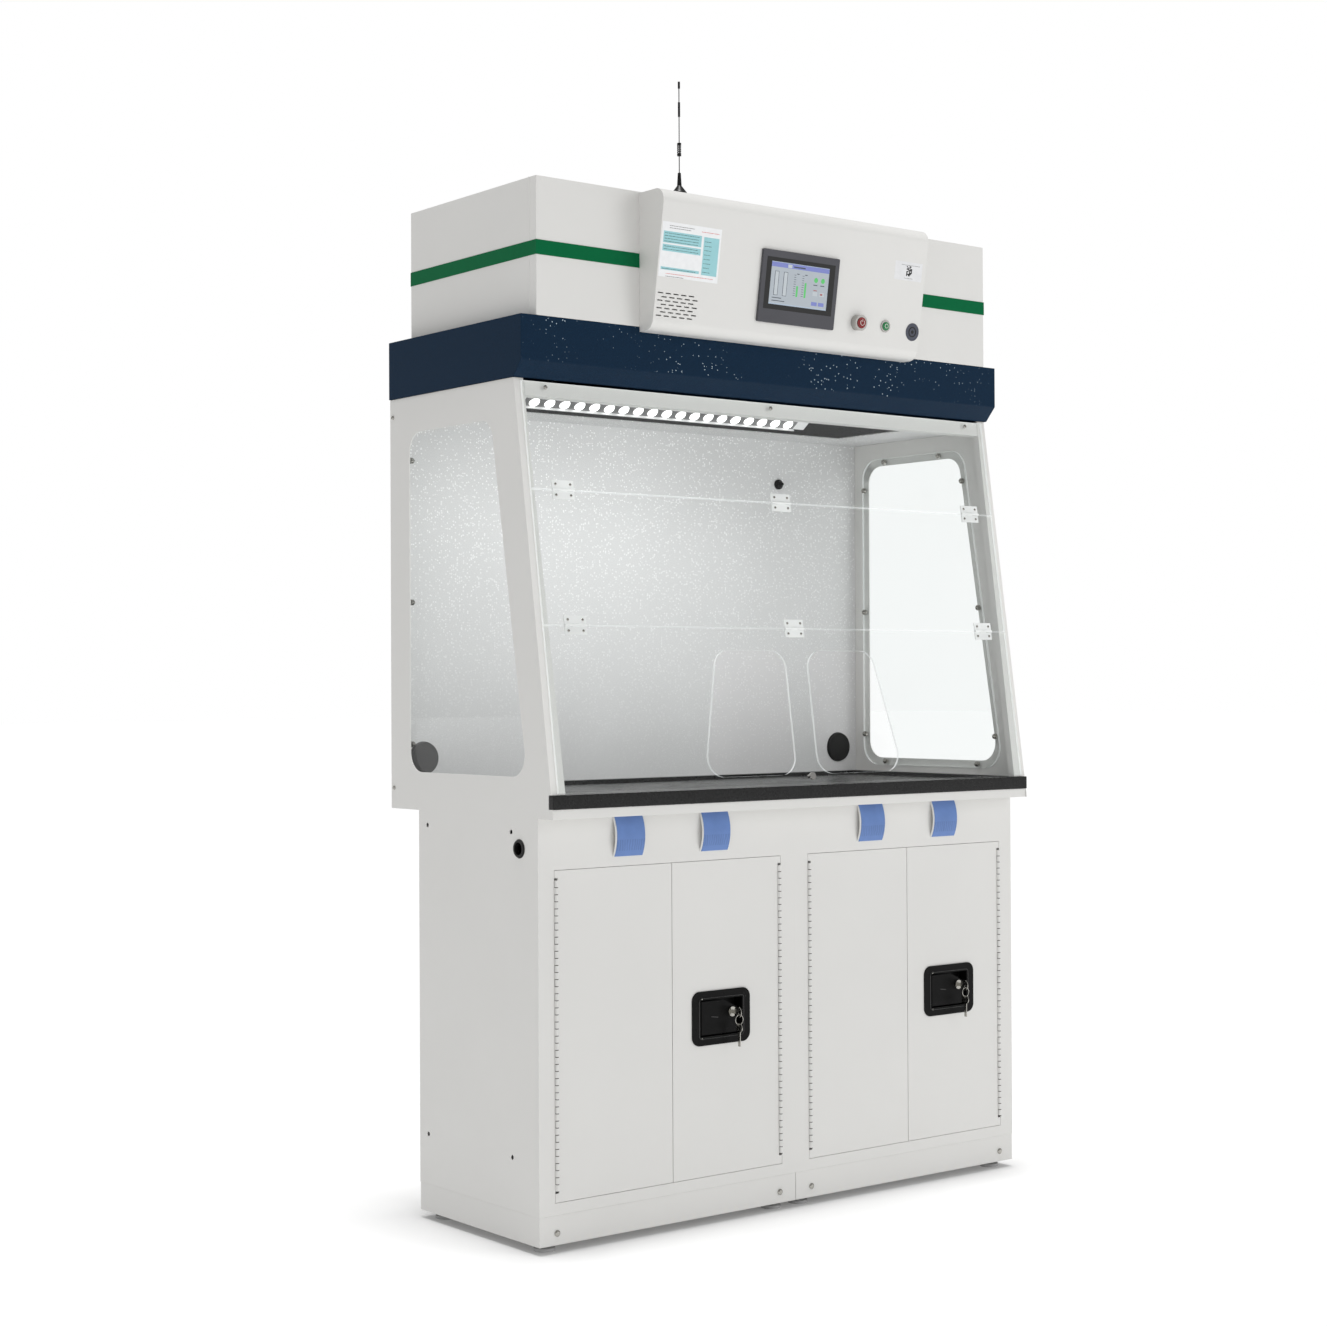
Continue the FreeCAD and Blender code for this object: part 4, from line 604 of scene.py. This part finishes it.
def sash_hardware():
    """Screws of all the hinge leaves."""
    hinge_screws("upper_hinge_screws", "hood", [("middle_sash_fold", 1)])
    hinge_screws("middle_hinge_screws", "sash_middle", [("middle_sash_fold", -1), ("lower_sash_fold", 1)])
    hinge_screws("lower_hinge_screws", "sash_lower", [("lower_sash_fold", -1)])


# ---------------------------------------------------------------- control panel graphics
INK = {
    "white": film("label_white", (0.86, 0.87, 0.88, 1)),
    "cyan": film("label_cyan", (0.33, 0.62, 0.66, 1)),
    "clear": film("label_clear", (0.76, 0.765, 0.775, 1)),
    "red": film("label_red", (0.62, 0.05, 0.05, 1)),
    "black": film("label_black", grey(0.03), specular=0.2),
    "badge": film("badge_grey", (0.075, 0.08, 0.105, 1)),
}
INK_STEP = 0.12 * MM
CODE_CELL = 2.6 * MM


def tiles(name, entries, inks, origin_out):
    """Flat printed areas on the control box's face, each ink laid a little above the one before.

    An entry is the ink's index, the layer, the low corner across and up the face, and the size.
    """
    def make(bm):
        for ink, layer, x, up, width, height in entries:
            top = origin_out + (layer + 1) * INK_STEP
            block(bm, PANEL, (x, -top, up), (x + width, -origin_out, up + height), ink)
    piece(name, make, inks, "hood")


def dashes(rng, ink, layer, x, up, width, height, shortest, longest):
    """A broken line that stands for a line of print."""
    made = []
    at = x
    while at < x + width - shortest:
        length = min(rng.uniform(shortest, longest), x + width - at)
        made.append((ink, layer, at, up, length, height))
        at += length + shortest * 0.6
    return made


def instruction_label():
    """Sheet of operating notes: white, with blue-green blocks and broken lines for print."""
    rng = random.Random(4)
    width = 146 * MM
    height = 104 * MM
    left = -349 * MM
    foot = 62 * MM
    white, cyan, red, black = range(4)
    entries = [(white, 0, left, foot, width, height)]

    def area(ink, x, up, w, h):
        entries.append((ink, 1, left + x * width, foot + up * height, w * width, h * height))

    def line(ink, layer, x, up, share, thick, shortest, longest):
        entries.extend(dashes(rng, ink, layer, left + x * width, foot + up * height, share * width,
                              thick, shortest, longest))

    for block_at in ((0.03, 0.62, 0.64, 0.21), (0.03, 0.47, 0.64, 0.12),
                     (0.71, 0.12, 0.26, 0.70), (0.03, 0.13, 0.64, 0.05)):
        area(cyan, *block_at)
    for up in (0.79, 0.74, 0.69, 0.64, 0.55, 0.50, 0.145):
        line(black, 2, 0.05, up, 0.58, 0.8 * MM, 2 * MM, 9 * MM)
    for row in range(8):
        line(black, 2, 0.73, 0.17 + row * 0.08, 0.12, 0.8 * MM, 2 * MM, 7 * MM)
    for up, share, ink in ((0.93, 0.42, black), (0.89, 0.36, black), (0.06, 0.80, red), (0.01, 0.3, black)):
        line(ink, 1, 0.12, up, share, 0.9 * MM, 1.5 * MM, 5 * MM)
    line(red, 1, 0.66, 0.90, 0.3, 0.9 * MM, 1.5 * MM, 6 * MM)
    inks = [INK["white"], INK["cyan"], INK["red"], INK["black"]]
    tiles("instruction_label", entries, inks, 0.0)


def notice_label():
    """Small clear-backed label with a block of plain squares."""
    rng = random.Random(9)
    left = 264 * MM
    foot = 121 * MM
    width = 78 * MM
    height = 38 * MM
    entries = [(0, 0, left, foot, width, height)]
    for across, up, length in ((18 * MM, 31 * MM, 52 * MM), (28 * MM, 4 * MM, 26 * MM)):
        entries.extend(dashes(rng, 1, 1, left + across, foot + up, length, 0.7 * MM, 1.5 * MM, 4 * MM))
    code_left = left + 33 * MM
    code_foot = foot + 9 * MM
    for row in range(8):
        for column in range(6):
            if rng.random() < 0.55:
                entries.append((1, 1, code_left + column * CODE_CELL, code_foot + row * CODE_CELL,
                                CODE_CELL, CODE_CELL))
    tiles("notice_label", entries, [INK["clear"], INK["black"]], 0.0)


def round_badge():
    """Grey disc with a raised rim, and a plain dark ring and dot on it."""
    across = 331 * MM
    up = 17 * MM
    place = facing(PANEL @ Vector((across, 0, up)), -PRESS)
    disc = 18.5 * MM
    face = 0.5 * MM
    raised = 0.8 * MM

    def base(bm):
        lathe(bm, [(disc, 0), (disc, 0.7 * MM), (disc - 1.5 * MM, 0.9 * MM), (disc - 2 * MM, face),
                   (0.1 * MM, face)], place, 48)

    def ring(bm):
        turns = [Vector((0.52 * disc * math.cos(t), 0.52 * disc * math.sin(t), face))
                 for t in (2 * math.pi * i / 40 for i in range(40))]
        tube(bm, [place @ point for point in turns], 1.1 * MM, closed=True, steps=8)
        lathe(bm, [(0.2 * disc, face), (0.2 * disc, raised), (0.1 * MM, raised)], place, 24)

    smooth(piece("round_badge", base, INK["badge"], "hood"))
    smooth(piece("badge_ring", ring, INK["black"], "hood"))


def screen_picture():
    """Plain page of a control display: title bar, bar meters, two round lamps and keys."""
    low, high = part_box("touch_screen")
    width = high.x - low.x
    to_panel = PANEL.inverted()
    corner = to_panel @ Vector((low.x, low.y, high.z))
    top_margin = 0.6 * MM
    both_margins = 2.4 * MM
    sunk = 0.42 * MM
    height = (high.z - low.z) / math.cos(TIP) - both_margins
    top = corner.z - top_margin
    foot = top - height
    out = BEZEL_PROUD - sunk
    tones = {"page": (0.38, 0.42, 0.46, 1), "title": (0.18, 0.21, 0.50, 1), "green": (0.10, 0.50, 0.14, 1),
             "dark": (0.05, 0.06, 0.08, 1), "pale": (0.46, 0.50, 0.53, 1), "red": (0.35, 0.10, 0.10, 1)}
    inks = [lit("screen_" + name, tone, strength=0.15, rough=0.1) for name, tone in tones.items()]
    page, title, green, dark, pale, red = range(len(tones))
    entries = []

    def area(ink, layer, x, up, w, h):
        entries.append((ink, layer, low.x + x * width, foot + up * height, w * width, h * height))

    area(page, 0, 0.004, 0.01, 0.992, 0.98)
    area(title, 1, 0.004, 0.88, 0.992, 0.11)
    area(pale, 2, 0.28, 0.89, 0.07, 0.08)
    area(dark, 2, 0.38, 0.91, 0.2, 0.03)
    for column in range(2):
        area(dark, 1, 0.07 + column * 0.15, 0.20, 0.07, 0.58)
        area(pale, 2, 0.077 + column * 0.15, 0.21, 0.056, 0.56)
    for column in range(2):
        x = 0.40 + column * 0.14
        for row in range(10):
            area(dark, 1, x, 0.24 + row * 0.055, 0.035, 0.01)
        area(green, 1, x + 0.05, 0.22, 0.03, 0.26 + 0.1 * column)
        area(dark, 1, x + 0.045, 0.76, 0.04, 0.02)
    for column in range(2):
        area(dark, 1, 0.74 + column * 0.12, 0.55, 0.07, 0.02)
        area(pale, 1, 0.74 + column * 0.12, 0.30, 0.08, 0.10)
        area(title, 1, 0.73 + column * 0.12, 0.06, 0.10, 0.09)
    area(red, 2, 0.75, 0.42, 0.06, 0.02)
    area(red, 2, 0.87, 0.33, 0.04, 0.04)
    for row in range(2):
        area(dark, 1, 0.05, 0.06 + row * 0.07, 0.22 - 0.06 * row, 0.018)
    tiles("screen_picture", entries, inks, out)

    def lamps(bm):
        for share in (0.78, 0.90):
            spot = PANEL @ Vector((low.x + share * width, -out - INK_STEP, foot + 0.68 * height))
            lathe(bm, [(5 * MM, 0), (5 * MM, INK_STEP), (3.5 * MM, 2 * INK_STEP), (0.1 * MM, 2 * INK_STEP)],
                  facing(spot, -PRESS), 24)
    smooth(piece("screen_lamps", lamps, inks[green], "hood"))


def bezel_border():
    """Black glass border round the display, inside the grey bezel."""
    low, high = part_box("touch_panel")
    middle = (low.x + high.x) / 2
    half = 90.5 * MM
    foot = 27 * MM
    top = 129 * MM
    screen_low, screen_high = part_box("touch_screen")
    to_panel = PANEL.inverted()
    screen_foot = (to_panel @ Vector((0, screen_high.y, screen_low.z))).z
    screen_top = (to_panel @ Vector((0, screen_low.y, screen_high.z))).z
    entries = [(0, 1, middle - half, foot, 2 * half, screen_foot - foot),
               (0, 1, middle - half, screen_top, 2 * half, top - screen_top),
               (0, 1, middle - half, screen_foot, screen_low.x - middle + half, screen_top - screen_foot),
               (0, 1, screen_high.x, screen_foot, middle + half - screen_high.x, screen_top - screen_foot)]
    tiles("bezel_border", entries, [INK["black"]], BEZEL_PROUD)


# ---------------------------------------------------------------- latches
DISH_CENTRE_IN = 72.5 * MM
RIVET_UP = 38.5 * MM
BEAD_HALF_WIDTH = 56 * MM
BEAD_HALF_HEIGHT = 39 * MM
BEAD_CORNER = 6 * MM
BEAD_RADIUS = 1.1 * MM
BAR_HALF_LENGTH = 9 * MM
BAR_HALF_HEIGHT = 1.2 * MM
BAR_PROUD = 0.9 * MM
BAR_SUNK = 0.2 * MM


def latch_details(side, door):
    """Raised bead round the dish, rivets at the pivot's ends, and a raised bar on the paddle."""
    low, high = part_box(side + "_latch_dish")
    paddle_low, paddle_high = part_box(side + "_latch_paddle")
    pivot = Vector(JOINTS[side + "_paddle_pivot"]["pos_m"])
    front = low.y
    centre_z = (low.z + high.z) / 2
    centre_x = high.x - DISH_CENTRE_IN

    def rivets(bm):
        for z in (-1, 1):
            spot = Vector((pivot.x - 0.5 * MM, front + 0.3 * MM, centre_z + z * RIVET_UP))
            lathe(bm, [(2.0 * MM, 0), (1.8 * MM, 0.8 * MM), (0.1 * MM, 1.2 * MM)],
                  facing(spot, (0, -1, 0)), 16)

    smooth(piece(side + "_latch_rivets", rivets, MATERIALS["nickel"], door))

    def bead(bm):
        path = []
        for i, (sign_x, sign_z) in enumerate(((1, 1), (-1, 1), (-1, -1), (1, -1))):
            corner_x = centre_x + sign_x * (BEAD_HALF_WIDTH - BEAD_CORNER)
            corner_z = centre_z + sign_z * (BEAD_HALF_HEIGHT - BEAD_CORNER)
            for k in range(7):
                turn = math.pi / 2 * (i + k / 6)
                path.append(Vector((corner_x + BEAD_CORNER * math.cos(turn), front,
                                    corner_z + BEAD_CORNER * math.sin(turn))))
        tube(bm, path, BEAD_RADIUS, closed=True)

    smooth(piece(side + "_latch_bead", bead, GLOSS_BLACK, door), 60)

    def bar(bm):
        middle = Vector(((paddle_low.x + paddle_high.x) / 2 - 10 * MM, paddle_low.y, centre_z + 1 * MM))
        tilt = Matrix.Translation(middle) @ Matrix.Rotation(math.radians(8), 4, "Y")
        block(bm, tilt, (-BAR_HALF_LENGTH, -BAR_PROUD, -BAR_HALF_HEIGHT),
              (BAR_HALF_LENGTH, BAR_SUNK, BAR_HALF_HEIGHT))
    raised = piece(side + "_paddle_bar", bar, GLOSS_BLACK, side + "_paddle")
    edge = raised.modifiers.new("soft_edge", "BEVEL")
    edge.width = 0.5 * MM
    edge.segments = 2


def tube(bm, path, radius, closed=False, steps=10):
    """A round tube along a path of points."""
    rings = []
    count = len(path)
    for i, point in enumerate(path):
        before = path[(i - 1) % count] if closed or i > 0 else point
        after = path[(i + 1) % count] if closed or i < count - 1 else point
        matrix = facing(point, after - before)
        ring = []
        for k in range(steps):
            turn = 2 * math.pi * k / steps
            ring.append(bm.verts.new(matrix @ Vector((radius * math.cos(turn), radius * math.sin(turn), 0))))
        rings.append(ring)
    pairs = list(zip(rings, rings[1:] + rings[:1])) if closed else list(zip(rings, rings[1:]))
    for first, second in pairs:
        shift = min(range(steps), key=lambda s: (first[0].co - second[s].co).length)
        for k in range(steps):
            j = (k + 1) % steps
            bm.faces.new((first[k], first[j], second[(j + shift) % steps], second[(k + shift) % steps]))
    if not closed:
        bm.faces.new(rings[0])
        bm.faces.new(rings[-1])


# ---------------------------------------------------------------- buttons and housing trim
def button_mark(button, outline_points):
    """Thin pale symbol inlaid on a button's cap."""
    low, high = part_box(button)
    face_x = (low.x + high.x) / 2
    corner = PANEL.inverted() @ Vector((face_x, low.y, (low.z + high.z) / 2))
    radius = (high.x - low.x) / 2
    wire = 0.45 * MM
    pale = lit(button + "_mark", (0.8, 0.78, 0.74, 1), strength=0.2)

    def make(bm):
        for points in outline_points:
            path = [PANEL @ Vector((face_x + x * radius, corner.y, corner.z + z * radius)) for x, z in points]
            tube(bm, path, wire, steps=6)
    piece(button + "_mark", make, pale, button)


def arc_points(radius, start, end, count=14):
    """Points round an arc, in degrees from the right."""
    turns = [math.radians(start + (end - start) * i / (count - 1)) for i in range(count)]
    return [(radius * math.cos(turn), radius * math.sin(turn)) for turn in turns]


def side_trims():
    """Folded edge of each side cover of the filter housing, set back from the front corner."""
    low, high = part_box("filter_housing")
    set_back = 23 * MM
    width = 4 * MM
    proud = 0.9 * MM
    steps = 8

    def make(bm):
        for side in (-1, 1):
            wall = high.x if side > 0 else low.x
            section = []
            for i in range(steps + 1):
                turn = math.pi * i / steps
                section.append((wall + side * proud * math.sin(turn),
                                low.y + set_back - width / 2 * math.cos(turn)))
            bottom = [bm.verts.new((x, y, low.z)) for x, y in section]
            top = [bm.verts.new((x, y, high.z)) for x, y in section]
            for i in range(steps):
                bm.faces.new((bottom[i], bottom[i + 1], top[i + 1], top[i]))
            bm.faces.new((bottom[0], bottom[-1], top[-1], top[0]))
            bm.faces.new(bottom)
            bm.faces.new(top)
    smooth(piece("housing_side_trims", make, MATERIALS["white_paint"], "hood"), 50)


def edge_screws(low, high, inset, columns, rows):
    """Places of screws round the border of an upright panel, as pairs across and up."""
    xs = [low.x + inset + (high.x - low.x - 2 * inset) * i / (columns - 1) for i in range(columns)]
    zs = [low.z + inset + (high.z - low.z - 2 * inset) * i / (rows - 1) for i in range(rows)]
    return [(x, z) for x in xs for z in zs if x in (xs[0], xs[-1]) or z in (zs[0], zs[-1])]


def rear_screws():
    """Screws round the chamber's rear cover and the filter housing's rear panel."""
    radius = 3.4 * MM
    panels = (("rear_cover", 12 * MM, 5, 5), ("housing_rear_panel", 14 * MM, 5, 2))

    def make(bm):
        for node, inset, columns, rows in panels:
            low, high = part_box(node)
            for x, z in edge_screws(low, high, inset, columns, rows):
                screw_head(bm, facing(Vector((x, high.y, z)), (0, 1, 0)), radius)
    smooth(piece("rear_screws", make, MATERIALS["nickel"], "hood"))


# ---------------------------------------------------------------- antenna
def antenna_coil():
    """Open loading coil wound between its two collars."""
    low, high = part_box("antenna")
    x = (low.x + high.x) / 2
    y = (low.y + high.y) / 2
    start = low.z + 77.5 * MM
    length = 22 * MM
    turns = 6
    radius = 3.6 * MM
    wire = 0.75 * MM
    steps = turns * 20

    def make(bm):
        path = []
        for i in range(steps + 1):
            turn = 2 * math.pi * turns * i / steps
            path.append(Vector((x + radius * math.cos(turn), y + radius * math.sin(turn),
                                start + length * i / steps)))
        tube(bm, path, wire, steps=8)
    smooth(piece("antenna_coil", make, MATERIALS["antenna_black"], "hood"), 80)


# ---------------------------------------------------------------- stage, lights and camera
SURROUND_LIGHT = 0.47
SURROUND_SEEN = 1.0
LAMP_DROP = 30 * MM
LAMP_WIDTH = 30 * MM


def stage_floor():
    """Plain pale floor."""
    mesh = bpy.data.meshes.new("floor")
    reach = 60.0
    mesh.from_pydata([(-reach, -reach, 0), (reach, -reach, 0), (reach, reach, 0), (-reach, reach, 0)], [],
                     [(0, 1, 2, 3)])
    floor = bpy.data.objects.new("floor", mesh)
    bpy.context.scene.collection.objects.link(floor)
    shader = Shader("floor_white")
    shader.set(Base_Color=grey(0.9), Roughness=0.8, Emission_Color=grey(1.0), Emission_Strength=0.08)
    mesh.materials.append(shader.material)


def area_light(name, location, target, size, watts):
    """A soft rectangular light aimed at a point."""
    data = bpy.data.lights.new(name, "AREA")
    data.shape = "RECTANGLE"
    data.size = size[0]
    data.size_y = size[1]
    data.energy = watts
    light = bpy.data.objects.new(name, data)
    light.location = location
    light.rotation_euler = (Vector(target) - Vector(location)).to_track_quat("-Z", "Y").to_euler()
    bpy.context.scene.collection.objects.link(light)
    return light


def studio():
    """White surround, a broad light in front, one overhead, the hood's own lamp and a fill in its chamber."""
    world = bpy.data.worlds.new("studio")
    bpy.context.scene.world = world
    world.use_nodes = True
    tree = world.node_tree
    background = tree.nodes["Background"]
    background.inputs["Color"].default_value = grey(1.0)
    seen = tree.nodes.new("ShaderNodeLightPath")
    strength = tree.nodes.new("ShaderNodeMath")
    strength.operation = "MULTIPLY_ADD"
    tree.links.new(seen.outputs["Is Camera Ray"], strength.inputs[0])
    strength.inputs[1].default_value = SURROUND_SEEN - SURROUND_LIGHT
    strength.inputs[2].default_value = SURROUND_LIGHT
    tree.links.new(strength.outputs[0], background.inputs["Strength"])
    front = area_light("front_light", location=(3.2, -5.6, 3.0), target=(0, 0, 1.2),
                       size=(3.0, 3.0), watts=84)
    front.visible_glossy = False
    overhead = bpy.data.lights.new("overhead_sun", "SUN")
    overhead.energy = 1.95
    overhead.angle = math.radians(14)
    bpy.context.scene.collection.objects.link(bpy.data.objects.new("overhead_sun", overhead))
    low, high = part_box("lamp_lenses")
    middle = (low + high) / 2
    beam = Vector((0, 0.35, -1)).normalized()
    lamp = area_light("hood_lamp", location=middle + beam * LAMP_DROP, target=middle + beam,
                      size=(high.x - low.x, LAMP_WIDTH), watts=1.1)
    fill = area_light("chamber_fill", location=(0, -0.15, 1.08), target=(0, 0.26, 1.0),
                      size=(1.1, 0.4), watts=0.9)
    for hidden in (lamp, fill):
        hidden.visible_camera = False
        hidden.visible_glossy = False


def photo_camera():
    """Camera at the viewing angle: left of the hood's front, a little below half its height."""
    data = bpy.data.cameras.new("camera")
    data.sensor_width = 36
    data.lens = 62.06
    camera = bpy.data.objects.new("camera", data)
    place = (-3.0343, -3.6672, 1.0455)
    yaw = math.radians(38.152)
    pitch = math.radians(0.536)
    roll = math.radians(-0.27)
    level = Matrix.Rotation(-yaw, 4, "Z") @ Matrix.Rotation(math.pi / 2 + pitch, 4, "X")
    camera.matrix_world = Matrix.Translation(place) @ level @ Matrix.Rotation(roll, 4, "Z")
    bpy.context.scene.collection.objects.link(camera)
    bpy.context.scene.camera = camera


finish_nodes()
soften_edges()
hinge_webs()
sash_hardware()
instruction_label()
notice_label()
round_badge()
bezel_border()
screen_picture()
for latch_side, latch_door in (("left", "left_inner_door"), ("right", "right_outer_door")):
    latch_details(latch_side, latch_door)
button_mark("power_button", [arc_points(0.5, 130, 410), [(0, 0.15), (0, 0.62)]])
button_mark("start_button", [arc_points(0.5, 0, 180), arc_points(0.5, 180, 360)])
side_trims()
rear_screws()
antenna_coil()
stage_floor()
studio()
photo_camera()
bpy.context.scene.view_settings.view_transform = "Standard"
